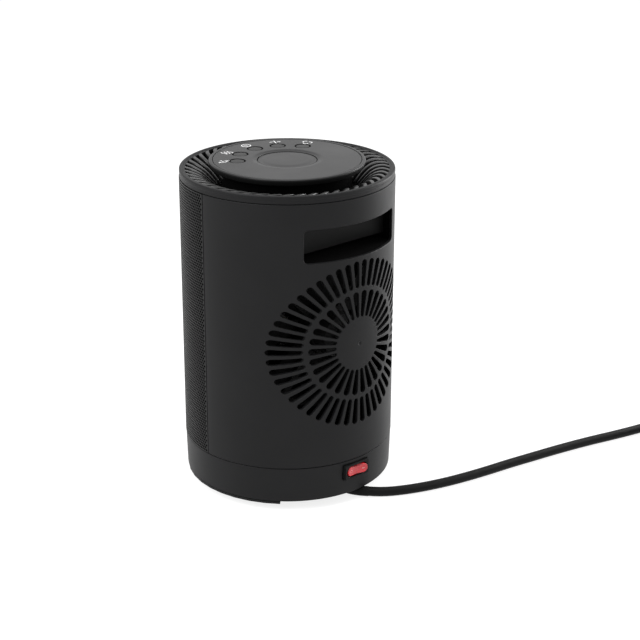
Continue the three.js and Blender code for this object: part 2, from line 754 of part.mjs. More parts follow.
function fanShroud() {
  const ring = revolve([
    [shroudInner, shroudFront],
    [shroudOuter, shroudFront],
    [shroudOuter, shroudBack],
    [shroudInner, shroudBack],
  ], 28).rotate([-90, 0, 0]);
  const cupInner = motorRadius + fit;
  const cup = revolve([
    [cupInner, motorFront + 1],
    [cupInner + 2.2, motorFront + 1],
    [cupInner + 2.2, shroudBack + 5],
    [cupInner, shroudBack + 5],
  ], 16).rotate([-90, 0, 0]);
  let shroud = join(ring, cup);
  for (const angle of [45, 135, 225, 315]) {
    const reach = Math.hypot(bossOffset, bossOffset);
    const back = shroudBack - 0.7;
    const arm = box(cupInner + 0.8, shroudInner + 0.8, back - armThickness, back, -3, 3);
    const ear = box(shroudOuter - 0.8, reach, back - armThickness, back, -4, 4);
    const pad = cylinderY(4.6, back - armThickness, back, reach, 0, 10);
    const hole = cylinderY(2.1, back - 6, back + 2, reach, 0, 8);
    shroud = join(shroud, cut(join(arm, ear, pad), hole).rotate([0, angle, 0]));
  }
  return shroud;
}

/** One twisted blade: rounded sections stacked outwards from the hub. */
function fanBlade() {
  const stations = 4;
  const positions = [];
  const index = [];
  const middle = fanFront + fanDepth / 2;
  const inside = fanHub - 1;
  for (let i = 0; i < stations; i++) {
    const share = i / (stations - 1);
    const r = inside + (fanRadius - inside) * share;
    const chord = 26 + 14 * share;
    const pitch = radians(48 - 22 * share);
    for (const [u, thick] of [[-0.5, 0], [-0.2, 1], [0.2, 1], [0.5, 0], [0.2, -1], [-0.2, -1]]) {
      const camber = 2.2 * (1 - 4 * u * u);
      const along = u * chord;
      const across = thick * 0.9 + camber;
      const sweep = (along * Math.cos(pitch) - across * Math.sin(pitch)) / r;
      const y = middle + (along * Math.sin(pitch) + across * Math.cos(pitch)) * 0.55;
      positions.push(r * Math.cos(sweep), y, r * Math.sin(sweep));
    }
  }
  for (let i = 0; i < stations - 1; i++) {
    for (let k = 0; k < 6; k++) {
      const [a, b] = [6 * i + k, 6 * i + ((k + 1) % 6)];
      index.push(a, b, a + 6, b, b + 6, a + 6);
    }
  }
  const last = 6 * (stations - 1);
  for (let k = 1; k < 5; k++) {
    index.push(0, k + 1, k);
    index.push(last, last + k, last + k + 1);
  }
  const geometry = new THREE.BufferGeometry();
  geometry.setAttribute("position", new THREE.Float32BufferAttribute(positions, 3));
  geometry.setIndex(index);
  return solid(geometry);
}

function fanImpeller() {
  const back = fanFront + fanDepth;
  let impeller = revolve([
    [shaftRadius + 0.05, fanFront + 2],
    [fanHub - 4, fanFront],
    [fanHub, fanFront + 3],
    [fanHub, back],
    [fanHub - 2, back],
    [fanHub - 2, fanFront + 5],
    [shaftRadius + 2.5, fanFront + 5],
    [shaftRadius + 2.5, back - 3],
    [shaftRadius + 0.05, back - 3],
  ], 20).rotate([-90, 0, 0]);
  const blade = fanBlade();
  for (let i = 0; i < fanBlades; i++) {
    impeller = join(impeller, blade.rotate([0, (360 * i) / fanBlades, 0]));
  }
  const bore = cylinderY(fanHub - 2, fanFront + 5, back + 2, 0, 0, 20);
  const sleeve = cylinderY(shaftRadius + 2.5, fanFront, back + 3, 0, 0, 20);
  const shaftHole = cylinderY(shaftRadius + 0.05, fanFront - 2, back, 0, 0, 20);
  return cut(impeller, cut(bore, sleeve), shaftHole);
}

function addFan() {
  place(parts.fan, "fan_shroud", fanShroud(), materials.inner);
  const can = cylinderY(motorRadius, motorFront, motorFront + motorLength, 0, 0, 16);
  const nose = cylinderY(6, motorFront + motorLength - 1, motorFront + motorLength + 2, 0, 0, 10);
  place(parts.fan, "fan_motor", join(can, nose), materials.steel);
  place(parts.fan, "fan_impeller", fanImpeller(), materials.inner);
  const shaft = cylinderY(shaftRadius, fanFront - 1, motorFront - fit, 0, 0, 12);
  place(parts.fan, "motor_shaft", shaft, materials.steel);
}

// ---------------------------------------------------------------- heating element and duct
const ductWidth = heaterWidth + 2 * ductGap;
const ductHeight = heaterHeight + 2 * ductGap;
const ductFront = ductClearance - Math.sqrt(frameInner ** 2 - (ductWidth / 2 + ductWall) ** 2);
const heaterFront = heaterBack - heaterDepth;
const finWidth = heaterWidth - 2 * heaterFrame;

/** Duct whose section changes from the round fan to the flat heating element. */
function airDuct() {
  const stations = [
    { y: ductBack, round: 1 },
    { y: ductBack - 18, round: 0.35 },
    { y: heaterBack + 4, round: 0 },
    { y: ductFront, round: 0 },
  ];
  const outline = (wall) => {
    const [w, h] = [ductWidth / 2 + wall, ductHeight / 2 + wall];
    const corners = [[w, 0], [w, h], [0, h], [-w, h], [-w, 0], [-w, -h], [0, -h], [w, -h]];
    return corners.flatMap(([x, z], i) => {
      const [nextX, nextZ] = corners[(i + 1) % corners.length];
      return [0, 1 / 3, 2 / 3].map(
        (share) => new THREE.Vector2(x + (nextX - x) * share, z + (nextZ - z) * share),
      );
    });
  };
  const loft = (wall, stretch) => {
    const positions = [];
    const index = [];
    const points = outline(wall);
    const sides = points.length;
    stations.forEach(({ y, round }, row) => {
      const at = row === 0 ? y + stretch : row === stations.length - 1 ? y - stretch : y;
      for (const point of points) {
        const circle = (shroudInner + wall) / point.length();
        const scale = 1 + (circle - 1) * round;
        positions.push(point.x * scale, at, point.y * scale);
      }
    });
    for (let row = 0; row < stations.length - 1; row++) {
      for (let k = 0; k < sides; k++) {
        const [a, b] = [row * sides + k, row * sides + ((k + 1) % sides)];
        index.push(a, b, a + sides, b, b + sides, a + sides);
      }
    }
    const last = (stations.length - 1) * sides;
    for (let k = 1; k < sides - 1; k++) {
      index.push(0, k + 1, k, last, last + k, last + k + 1);
    }
    const geometry = new THREE.BufferGeometry();
    geometry.setAttribute("position", new THREE.Float32BufferAttribute(positions, 3));
    geometry.setIndex(index);
    return solid(geometry);
  };
  return cut(loft(ductWall, 0), loft(0, 1));
}

function heaterFramePiece() {
  const [w, h] = [heaterWidth / 2, heaterHeight / 2];
  const outside = box(-w, w, heaterFront, heaterBack, -h, h);
  const window = box(
    -finWidth / 2 - fit, finWidth / 2 + fit, heaterFront - 1, heaterBack + 1,
    -finStack / 2, finStack / 2,
  );
  const strap = box(-6, 6, heaterBack - 0.5, heaterBack + 1.2, -h, h);
  return join(cut(outside, window), strap);
}

/** Corrugated foil, folded up and down between two ceramic bars. */
function finPack() {
  const half = finHeight / 2;
  const pitch = finWidth / finFolds;
  const upper = [];
  const lower = [];
  for (let i = 0; i <= 2 * finFolds; i++) {
    const x = -finWidth / 2 + (pitch * i) / 2;
    const up = i % 2 === 0;
    const shift = (finFoil * Math.hypot(finHeight, pitch / 2)) / pitch;
    upper.push(new THREE.Vector2(x, up ? half : -half + 2 * shift));
    lower.push(new THREE.Vector2(x, up ? half - 2 * shift : -half));
  }
  const outline = new THREE.Shape([...upper, ...lower.reverse()]);
  return prismY(outline, heaterFront + 0.5, heaterBack - 0.8);
}

function addElement() {
  const group = parts.element;
  place(group, "air_duct", airDuct(), materials.inner);
  place(group, "ptc_frame", heaterFramePiece(), materials.inner);
  const pitch = finHeight + barThickness + 2 * fit;
  const fins = finPack();
  for (let i = 0; i < finPacks; i++) {
    const z = (i - (finPacks - 1) / 2) * pitch;
    place(group, `heating_fins_${i + 1}`, fins, materials.aluminium, [0, 0, z]);
  }
  const half = finWidth / 2;
  for (let i = 0; i < finPacks - 1; i++) {
    const [front, back] = [heaterFront + 2, heaterBack - 2];
    const bar = box(-half, half, front, back, -barThickness / 2, barThickness / 2);
    const z = (i - (finPacks - 2) / 2) * pitch;
    place(group, `ptc_bar_${i + 1}`, bar, materials.ceramic, [0, 0, z]);
  }
  const seat = heaterBack + 1.2 + fit;
  const thermostat = join(
    cylinderY(8, seat, seat + 5, 0, 14, 16),
    box(-9.5, -6, seat, seat + 1.2, 12, 16),
    box(6, 9.5, seat, seat + 1.2, 12, 16),
  );
  place(group, "thermostat", thermostat, materials.aluminium);
  const fuse = join(
    cylinderY(1.9, seat, seat + 9, 0, -14, 8),
    cylinderY(2.9, seat, seat + 1.4, 0, -14, 8),
  );
  place(group, "thermal_fuse", fuse, materials.ceramic);
}

// ---------------------------------------------------------------- top ring and control disc
/** Height of the dish between the rim and the hub, above the ring's lower edge. */
function dishHeight(r) {
  const crest = ringHeight - 0.8;
  return crest - dishDepth * ((crestRadius - r) / (crestRadius - vaneInner)) ** 2;
}

/** How far the vanes have turned at a radius, in radians: fast at the rim, straight at the hub. */
function swirl(r) {
  const share = THREE.MathUtils.clamp((vaneOuter - r) / (vaneOuter - vaneInner), 0, 1);
  return radians(swirlAngle) * Math.sin((Math.PI / 2) * Math.min(1, share * 1.6));
}

/**
 * Ring of swirled vanes. A closed profile is turned around Z with two columns of points for each
 * vane, one along each of its edges, and each point is turned further by the swirl at its radius.
 * Rim and hub have one column for each vane, so both of its columns meet there.
 */
function louvreRing() {
  const steps = 3;
  const top = [];
  const bottom = [];
  for (let i = 0; i <= steps; i++) {
    const r = vaneOuter + (vaneInner - vaneOuter) * (i / steps) ** 1.3;
    top.push([r, dishHeight(r)]);
    bottom.push([r, dishHeight(r) - vaneThickness]);
  }
  const side = bodyRadius - ringInset;
  const rim = [
    [vaneOuter + 1.5, ringHeight],
    [side, ringHeight],
    [side, 0],
    [lipOuter, 0],
    [lipOuter, -lipHeight],
    [lipInner, -lipHeight],
  ];
  const hub = [
    [skirtRadius - 3.4, bottom[steps][1]],
    [skirtRadius - 3.4, bottom[steps][1] + 1.8],
    [skirtRadius + fit, bottom[steps][1] + 1.8],
  ];
  const profile = [...top.toReversed(), ...rim, ...bottom, ...hub];
  const count = profile.length;
  const firstRim = steps;
  const lastRim = steps + rim.length + 1;
  const lastVane = lastRim + steps;
  const positions = [];
  const index = [];
  const pitch = (2 * Math.PI) / vaneCount;
  const phase = radians(vanePhase);
  for (let column = 0; column < 2 * vaneCount; column++) {
    const edge = (pitch * vaneShare * (column % 2 === 0 ? -1 : 1)) / 2;
    profile.forEach(([r, z], k) => {
      const onVane = k <= firstRim || (k >= lastRim && k <= lastVane);
      const turned = pitch * Math.floor(column / 2) + (onVane ? edge : 0) + swirl(r) + phase;
      positions.push(r * Math.cos(turned), r * Math.sin(turned), z);
    });
  }
  const at = (column, point) => (column % (2 * vaneCount)) * count + (point % count);
  const quad = (a, b, c, d) => index.push(a, b, c, a, c, d);
  for (let column = 0; column < 2 * vaneCount; column++) {
    const isVane = column % 2 === 0;
    for (let k = 0; k < count; k++) {
      const inRim = k >= firstRim && k < lastRim;
      const inHub = k >= lastVane;
      if (isVane || inRim || inHub) {
        quad(at(column, k), at(column + 1, k), at(column + 1, k + 1), at(column, k + 1));
      }
    }
    if (isVane) continue;
    // walls of the slot: its outer and inner end, then both flanks
    const next = column + 1;
    quad(at(column, lastRim), at(next, lastRim), at(next, firstRim), at(column, firstRim));
    quad(at(column, 0), at(next, 0), at(next, lastVane), at(column, lastVane));
    for (let k = 0; k < steps; k++) {
      const [upper, lower] = [firstRim - k, lastRim + k];
      quad(at(column, upper), at(column, upper - 1), at(column, lower + 1), at(column, lower));
      quad(at(next, lower), at(next, lower + 1), at(next, upper - 1), at(next, upper));
    }
  }
  const geometry = new THREE.BufferGeometry();
  geometry.setAttribute("position", new THREE.Float32BufferAttribute(positions, 3));
  geometry.setIndex(index);
  return solid(geometry);
}

const low = discBottom - ringBottom; // underside of the disc in the head's frame
const high = low + discThickness;
const panelHigh = high - 0.2;
const panelLow = panelHigh - panelThickness;
const plateHigh = panelLow - fit;
const skirtLow = dishHeight(vaneInner) - vaneThickness + 1.8 + fit;
const boardTop = -0.4;
const keySwitchTop = boardTop + 2;
const stemLow = keySwitchTop + keyTravel + fit;
const flangeHigh = low - 0.4;
const flangeLow = flangeHigh - 1.3;
const keyAngles = Array.from(
  { length: keyCount },
  (_, i) => -90 + keySpacing * (i - (keyCount - 1) / 2),
);
const boardPostAngles = [20, 90, 160];

function controlHousing() {
  const hole = centerButtonRadius + 0.4;
  let housing = revolve([
    [hole, low],
    [skirtRadius - skirtWall, low],
    [skirtRadius - skirtWall, skirtLow],
    [skirtRadius, skirtLow],
    [skirtRadius, low],
    [discRadius - 0.8, low],
    [discRadius, low + 0.8],
    [discRadius, high - 1.2],
    [discRadius - 1.2, high],
    [panelRadius + fit, high],
    [panelRadius + fit, plateHigh],
    [hole, plateHigh],
  ], 36);
  for (const angle of keyAngles) {
    const [x, y] = polar(keyCircle, angle);
    housing = cut(housing, cylinderZ(keyRadius + 0.35, low - 1, high, x, y, 12));
  }
  for (const angle of boardPostAngles) {
    const [x, y] = polar(skirtRadius - boardPostInset, angle);
    housing = join(housing, cylinderZ(3, boardTop + fit, low + 0.5, x, y, 8));
  }
  return housing;
}

function controlPanel() {
  const hole = centerButtonRadius + 0.3;
  let panel = revolve([
    [hole, panelLow],
    [panelRadius, panelLow],
    [panelRadius, panelHigh],
    [hole + 4.2, panelHigh],
    [hole, panelHigh - 0.7],
  ], 36);
  for (const angle of keyAngles) {
    const [x, y] = polar(keyCircle, angle);
    panel = cut(panel, cylinderZ(keyRadius + 0.3, panelLow - 1, high, x, y, 12));
  }
  return panel;
}

/** Push button with a slightly crowned cap, a retaining flange and a stem to its switch. */
function pushButton(radius, stem, segments, top) {
  return revolve([
    [0, top],
    [radius - 0.6, top - 0.1],
    [radius, top - 0.7],
    [radius, flangeHigh],
    [radius + 1.2, flangeHigh],
    [radius + 1.2, flangeLow],
    [stem, flangeLow],
    [stem, stemLow],
    [0, stemLow],
  ], segments);
}

function controlBoard() {
  const radius = skirtRadius - skirtWall - 1;
  let board = cylinderZ(radius, boardTop - boardThickness, boardTop, 0, 0, 24);
  for (const [x, y] of [[0, 0], ...keyAngles.map((angle) => polar(keyCircle, angle))]) {
    board = join(board, box(x - 3, x + 3, y - 3, y + 3, boardTop - 0.5, keySwitchTop));
  }
  return board;
}

function addHead() {
  const group = parts.head;
  place(group, "louvre_ring", louvreRing(), materials.housing);
  place(group, "control_housing", controlHousing(), materials.disc);
  place(group, "control_panel", controlPanel(), materials.disc);
  place(group, "control_board", controlBoard(), materials.board);
  const middle = pushButton(centerButtonRadius, 4, 28, panelHigh - 0.5);
  place(group, "center_button", middle, materials.disc);
  const key = pushButton(keyRadius, 2.2, 12, panelHigh);
  keyAngles.forEach((angle, i) => {
    const [x, y] = polar(keyCircle, angle);
    place(group, `key_button_${i + 1}`, key, materials.disc, [x, y, 0]);
  });
}

// ---------------------------------------------------------------- mains lead
const onFloor = leadRadius + 0.05;
// points of the lead's centre line: x, distance behind the rear wall, height
const leadRoute = [
  [0, -reliefInset, leadHeight],
  [-0.6, -16.5, leadHeight - 0.5],
  [-2.7, -10.2, leadHeight - 1.3],
  [-6, -4.5, onFloor + 0.3],
  [-10.2, 0.7, onFloor + 0.22],
  [-15.4, 6, onFloor + 0.1],
  [-21.8, 10.9, onFloor],
  [-30.2, 15.8, onFloor],
  [-42.6, 21.4, onFloor],
  [-54.6, 25.7, onFloor],
  [-68.6, 29.8, onFloor],
  [-84.6, 33.4, onFloor],
  [-103.6, 36.8, onFloor],
  [-126.6, 40.2, onFloor],
  [-150, 44.3, onFloor],
  [-177, 49.2, onFloor],
  [-205, 55.3, onFloor],
  [-235, 63.1, onFloor],
  [-257, 68.1, onFloor],
  [-270.5, 70.1, onFloor],
].map(([x, behind, z]) => new THREE.Vector3(x, bodyRadius + behind, z));
const leadCurve = new THREE.CatmullRomCurve3(leadRoute, false, "centripetal");

/** The stretch of the lead's curve between two distances from its start. */
class Stretch extends THREE.Curve {
  constructor(from, to) {
    super();
    this.from = from / leadCurve.getLength();
    this.to = to / leadCurve.getLength();
  }
  getPoint(share, target = new THREE.Vector3()) {
    return leadCurve.getPointAt(THREE.MathUtils.lerp(this.from, this.to, share), target);
  }
}

/**
 * Tapered sleeve that follows the first stretch of the lead below the base, with an elbow that
 * rises through the floor of the base and ends in a collar.
 */
function strainRelief() {
  const sides = 12;
  const end = leadRadius + reliefEnd;
  const taper = (share) => end + (reliefRadius - end) * (1 - share) ** 2;
  const sleeve = [0, 0.2, 0.4, 0.6, 0.8, 1].map((share) => [share, taper(share)]);
  const curve = new Stretch(0, reliefLength);
  const positions = [];
  const index = [];
  for (const [share, radius] of sleeve) {
    const centre = curve.getPoint(share);
    const forward = curve.getTangent(share);
    const across = new THREE.Vector3(0, 0, 1).cross(forward).normalize();
    const up = forward.clone().cross(across);
    for (let k = 0; k < sides; k++) {
      const angle = (2 * Math.PI * k) / sides;
      const point = centre.clone().addScaledVector(across, radius * Math.cos(angle));
      positions.push(...point.addScaledVector(up, radius * Math.sin(angle)).toArray());
    }
  }
  for (let row = 0; row < sleeve.length - 1; row++) {
    for (let k = 0; k < sides; k++) {
      const [a, b] = [row * sides + k, row * sides + ((k + 1) % sides)];
      index.push(a, b, a + sides, b, b + sides, a + sides);
    }
  }
  const last = (sleeve.length - 1) * sides;
  for (let k = 1; k < sides - 1; k++) {
    index.push(0, k + 1, k, last, last + k, last + k + 1);
  }
  const geometry = new THREE.BufferGeometry();
  geometry.setAttribute("position", new THREE.Float32BufferAttribute(positions, 3));
  geometry.setIndex(index);
  const { width, depth, margin } = reliefBlock;
  const [half, back, front] = [width / 2, reliefInner, reliefInner + depth];
  const { past, thickness } = reliefCollar;
  const collarLow = floorTop + fit;
  const elbow = box(-half, half, back, front, leadHeight - margin, collarLow + thickness);
  const collar = box(
    -half - past, half + past, back - past, front + past, collarLow, collarLow + thickness,
  );
  return join(solid(geometry), elbow, collar);
}

function leadTube() {
  const section = new THREE.Shape();
  section.absarc(0, 0, leadRadius, 0, 2 * Math.PI);
  const extrudePath = new Stretch(reliefLength + fit, leadCurve.getLength());
  return solid(new THREE.ExtrudeGeometry(section, { steps: 20, curveSegments: 4, extrudePath }));
}

const coilTop = 2 * leadDiameter + 0.2;

function leadCoil() {
  return revolve([
    [coilInner - leadRadius, 0.1],
    [coilOuter + leadRadius + 0.1, 0.1],
    [coilOuter + leadRadius + 0.1, leadDiameter + 0.6],
    [coilOuter + leadRadius - 1.6, coilTop],
    [coilInner - leadRadius, coilTop],
  ], 28);
}

const plugLow = 0.1;
const plugHeight = 17;
const plugWidth = 26;
const plugLength = 34;
const plugAxis = plugLow + plugHeight / 2;
const bladeOffsets = [-6.35, 6.35];

/** Two-pole plug lying flat, its blades towards +X. */
function plug() {
  const body = roundedRectangle(plugLength, plugWidth, 6, plugLength / 2, 0);
  const block = prismZ(body, plugLow, plugLow + plugHeight, 4);
  const relief = new THREE.CylinderGeometry(5.6, 4.4, 20, 10).rotateZ(-Math.PI / 2);
  const sleeve = solid(relief.translate(-9.5, 0, plugAxis));
  const sockets = bladeOffsets.map((y) =>
    box(24, plugLength + 1, y - 1.1, y + 1.1, plugAxis - 4.4, plugAxis + 4.4),
  );
  return cut(join(block, sleeve), ...sockets);
}

function addLead() {
  const group = parts.lead;
  place(group, "cord_relief", strainRelief(), materials.rubber);
  place(group, "mains_lead", leadTube(), materials.lead);
  const [coilX, coilY] = [-coilPlace.left, bodyRadius + coilPlace.behind];
  place(group, "lead_coil", leadCoil(), materials.lead, [coilX, coilY, 0]);
  const plugAt = [coilX + 22, coilY + coilOuter + leadRadius + plugWidth / 2 - 4, 0];
  place(group, "plug", plug(), materials.rubber, plugAt);
  bladeOffsets.forEach((y, i) => {
    const [bladeLow, bladeHigh] = [plugAxis - 3.2, plugAxis + 3.2];
    const blade = box(24 + fit, plugLength + 17, y - 0.75, y + 0.75, bladeLow, bladeHigh);
    place(group, `plug_blade_${i + 1}`, blade, materials.brass, plugAt);
  });
}

addStand();
addBase();
addBody();
addFan();
addElement();
addHead();
addLead();

export default heater;
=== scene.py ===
"""Dressed model of a round ceramic space heater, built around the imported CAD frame.

Shapes are worked out in millimetres and scaled to metres when a mesh is made. The heater stands on
z = 0, its rear faces +Y and its mesh front faces -Y. phi is the angle from +Y towards +X, and u is
the arc that goes with it on the body's wall. A shell is a pair of points and faces.
"""

import json
import math

import bpy
import numpy as np
from mathutils import Matrix, Vector
from mathutils.geometry import delaunay_2d_cdt


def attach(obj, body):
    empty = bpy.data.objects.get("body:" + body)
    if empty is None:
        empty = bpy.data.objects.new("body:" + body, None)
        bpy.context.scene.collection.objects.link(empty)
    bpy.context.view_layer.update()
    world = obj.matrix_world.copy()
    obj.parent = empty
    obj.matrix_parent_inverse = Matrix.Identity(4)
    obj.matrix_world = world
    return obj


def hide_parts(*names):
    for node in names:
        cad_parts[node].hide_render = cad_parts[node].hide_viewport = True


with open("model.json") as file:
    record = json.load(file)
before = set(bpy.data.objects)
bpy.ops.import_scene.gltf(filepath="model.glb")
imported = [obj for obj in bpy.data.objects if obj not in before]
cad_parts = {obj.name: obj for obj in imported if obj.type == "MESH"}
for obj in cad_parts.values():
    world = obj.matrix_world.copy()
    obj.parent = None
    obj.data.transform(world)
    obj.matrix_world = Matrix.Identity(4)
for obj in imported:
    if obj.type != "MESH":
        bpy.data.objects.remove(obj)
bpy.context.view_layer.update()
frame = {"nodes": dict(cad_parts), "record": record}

MM = 0.001

# ---------------- dimensions, as in the CAD (mm)
BODY_RADIUS = 80.5
SHELL_INNER = 78.3
BODY_LOW, BODY_HIGH = 35.9, 240.2
SEAM = 0.3
FAN_HEIGHT = 128.6
INNER_SLOTS = dict(count=30, start=20.5, end=40.7, narrow=2.6, wide=5.1)
OUTER_SLOTS = dict(count=50, start=43.6, end=64.2, narrow=3.3, wide=4.8)
HANDLE = dict(half=43.0, low=196.1, high=220.9, corner=3.0)
POCKET_BACK, POCKET_DEPTH, POCKET_LIP, POCKET_WALL = 58.0, 46.0, 198.8, 1.7
MESH = dict(columns=108, rows=100, inset=0.5, thickness=0.8, hole=1.0)
BASE_LOW, BASE_HIGH, FLOOR_LOW = 8.2, 35.6, 12.2
BASE_LOW_RADIUS, BASE_HIGH_RADIUS, BASE_INNER = 79.5, 80.3, 77.0
SWITCH_AT = (2.0, 26.5)
SWITCH_FACE = 81.9
BEZEL, BEZEL_DEPTH, BEZEL_GAP = (23.6, 11.8), 8.0, 0.4
PILL, PILL_DEPTH = (18.6, 7.8), 6.5
RING_LOW, RING_HIGH, RING_RADIUS = 240.5, 246.5, 80.2
VANES = 50
DISC_LOW, DISC_HIGH, DISC_RADIUS = 247.2, 252.1, 59.0
PANEL_RADIUS, PANEL_HIGH, PANEL_THICKNESS = 55.2, 251.9, 1.4
CENTER_RADIUS = 22.1
KEY_RADIUS, KEY_CIRCLE, SIGN_CIRCLE = 6.0, 37.3, 47.9
KEY_ANGLES = [math.radians(-90 + 29.6 * step) for step in (-2, -1, 0, 1, 2)]

# ---------------- mains lead, as in the CAD (mm)
LEAD_RADIUS = 3.7
ON_FLOOR = LEAD_RADIUS + 0.05
LEAD_ROUTE = [
    (0, 58.5, 5.7), (-0.6, 64, 5.2), (-2.7, 70.3, 4.4), (-6, 76, 4.05), (-10.2, 81.2, 3.97),
    (-15.4, 86.5, 3.85),
] + [(x, y, ON_FLOOR) for x, y in (
    (-21.8, 91.4), (-30.2, 96.3), (-42.6, 101.9), (-54.6, 106.2), (-68.6, 110.3), (-84.6, 113.9),
    (-103.6, 117.3), (-126.6, 120.7), (-150, 124.8), (-177, 129.7), (-205, 135.8), (-235, 143.6),
    (-257, 148.6), (-270.5, 150.6),
)]
COIL_ENTRY = (-285.5, 151.5, ON_FLOOR + 0.15)
COIL_CENTRE = (-300.0, 200.0)
COIL_OUTER, COIL_INNER, COIL_LAST = 48.2, 30.8, 46.6
LOWER_TURNS, UPPER_TURNS = 2.33, 2.0
COIL_LIFT = 0.55  # the tie runs under the turns
COIL_EXIT = [(-329.5, 242.0, 11.2), (-319.0, 252.6, 10.4), (-307.5, 259.2, 9.3), (-297.0, 261.1, 8.7),
             (-288.0, 261.2, 8.6)]
PLUG_AT = (-278.0, 261.2, 8.6)
PLUG_LENGTH, PLUG_HALF_WIDTH, PLUG_HALF_HEIGHT = 34, 13, 8.4
TIE = dict(thick=0.5, half=7.0, lap=0.55, turn=-20)
RELIEF_RADIUS, RELIEF_END, RELIEF_STEPS = 5.2, 3.85, 52
ELBOW = dict(half=5.5, back=58.5, front=67.5, low=4.2, high=16.4)
COLLAR = dict(past=1.6, thickness=1.5)

# ---------------- view and light (m, W)
CAMERA_AT = (0.7535, 0.8730, 0.5703)
CAMERA_FORWARD = (-0.6242, -0.6927, -0.3613)
CAMERA_RIGHT = (-0.7437, 0.6685, 0.003)
CAMERA_LENS = 90.4
WORLD_GREY = 0.5
LAMPS = [  # name, place, point that it lights, size, power
    ("lamp_key", (1.6, -0.2, 1.5), (0, 0, 0.12), (1.0, 1.4), 36),
    ("lamp_fill", (-0.6, 1.7, 1.3), (0, 0, 0.12), (1.2, 1.2), 8),
    ("lamp_top", (0, 0, 1.9), (0, 0, 0), (1.4, 1.4), 14),
    ("lamp_rim", (-0.95, 0.2, 0.4), (0, 0, 0.12), (0.5, 0.7), 9),
]


def add_object(name, data):
    thing = bpy.data.objects.new(name, data)
    bpy.context.scene.collection.objects.link(thing)
    return thing


def add_camera():
    """The photograph's own point of view, with its long lens."""
    data = bpy.data.cameras.new("camera")
    data.lens = CAMERA_LENS
    data.sensor_width = 36
    data.clip_end = 30
    camera = add_object("camera", data)
    forward = Vector(CAMERA_FORWARD).normalized()
    right = Vector(CAMERA_RIGHT)
    right = (right - right.dot(forward) * forward).normalized()
    rotation = Matrix((right, right.cross(forward), -forward)).transposed()
    camera.matrix_world = Matrix.Translation(CAMERA_AT) @ rotation.to_4x4()
    bpy.context.scene.camera = camera


add_camera()


# ---------------- materials
class Shading:
    """A node material with a Principled shader, and short ways to add to it."""

    def __init__(self, name, **sockets):
        self.material = bpy.data.materials.new(name)
        self.material.use_nodes = True
        self.nodes = self.material.node_tree.nodes
        self.links = self.material.node_tree.links
        self.shader = self.nodes["Principled BSDF"]
        for socket, value in sockets.items():
            self.shader.inputs[socket.replace("_", " ")].default_value = value
        self.place = self.nodes.new("ShaderNodeTexCoord").outputs["Object"]

    def node(self, kind, **values):
        """A node with values on its sockets, whose names have _ for a space."""
        node = self.nodes.new(kind)
        for socket, value in values.items():
            node.inputs[socket.replace("_", " ")].default_value = value
        return node

    def noise(self, scale, detail=2.0, rough=0.5, stretch=None):
        """Noise over the object, scale in features per metre, in 0..1."""
        place = self.place
        if stretch:
            mapping = self.node("ShaderNodeMapping", Scale=stretch)
            self.links.new(place, mapping.inputs["Vector"])
            place = mapping.outputs["Vector"]
        node = self.node("ShaderNodeTexNoise", Scale=scale, Detail=detail, Roughness=rough)
        self.links.new(place, node.inputs["Vector"])
        return node.outputs["Fac"]

    def spread(self, value, low, high, first=0.3, last=0.7):
        """Maps first..last of a value to low..high."""
        node = self.node("ShaderNodeMapRange", From_Min=first, From_Max=last, To_Min=low, To_Max=high)
        self.links.new(value, node.inputs["Value"])
        return node.outputs["Result"]

    def colors(self, value, dark, light):
        """Base colour that runs from dark to light with a value."""
        node = self.node("ShaderNodeMix")
        node.data_type = "RGBA"
        node.inputs["A"].default_value = (*dark, 1)
        node.inputs["B"].default_value = (*light, 1)
        self.links.new(value, node.inputs["Factor"])
        self.links.new(node.outputs["Result"], self.shader.inputs["Base Color"])

    def rough(self, value, low, high):
        self.links.new(self.spread(value, low, high), self.shader.inputs["Roughness"])

    def bump(self, value, depth, strength=1.0):
        """Relief of a depth in millimetres."""
        node = self.node("ShaderNodeBump", Strength=strength, Distance=depth * MM)
        self.links.new(value, node.inputs["Height"])
        self.links.new(node.outputs["Normal"], self.shader.inputs["Normal"])


def shades(color, *shares):
    return [tuple(channel * share for channel in color) for share in shares]


def moulded(name, color, roughness, grain=0.03, size=1800, specular=0.5):
    """Moulded plastic: spark-eroded grain, and a slow drift of tone and sheen over the wall."""
    made = Shading(name, Specular_IOR_Level=specular)
    drift = made.noise(22, 3.0)
    made.colors(made.spread(drift, 0, 1), *shades(color, 0.88, 1.12))
    made.rough(drift, roughness - 0.04, roughness + 0.04)
    made.bump(made.noise(size, 3.0, 0.6), grain)
    return made.material


def plated(name, color, roughness, stretch=(1, 1, 12)):
    """Rolled or plated metal with fine marks along one direction."""
    made = Shading(name, Metallic=1.0)
    marks = made.noise(260, 4.0, 0.6, stretch)
    made.colors(made.spread(marks, 0, 1), *shades(color, 0.82, 1.1))
    made.rough(marks, roughness - 0.07, roughness + 0.1)
    made.bump(marks, 0.02, 0.5)
    return made.material


def lead_sheath():
    """Satin sheath of the lead, with the faint waves of a drawn jacket."""
    made = Shading("lead_sheath", Specular_IOR_Level=0.1)
    waves = made.noise(90, 2.0)
    made.colors(made.spread(waves, 0, 1), (0.003, 0.003, 0.003), (0.005, 0.005, 0.0052))
    made.rough(waves, 0.36, 0.5)
    made.bump(made.noise(900, 2.0), 0.02)
    return made.material


def tinted_red():
    """Tinted clear plastic of the rocker: glossy, with a soft glow of depth."""
    made = Shading(
        "rocker_red", Coat_Weight=0.3, Coat_Roughness=0.08, Subsurface_Weight=0.25,
        Subsurface_Scale=0.002, IOR=1.5,
    )
    cloud = made.noise(160, 2.0)
    made.colors(made.spread(cloud, 0, 1), (0.42, 0.004, 0.010), (0.56, 0.008, 0.018))
    made.rough(cloud, 0.14, 0.24)
    made.bump(made.noise(500, 2.0), 0.01)
    return made.material


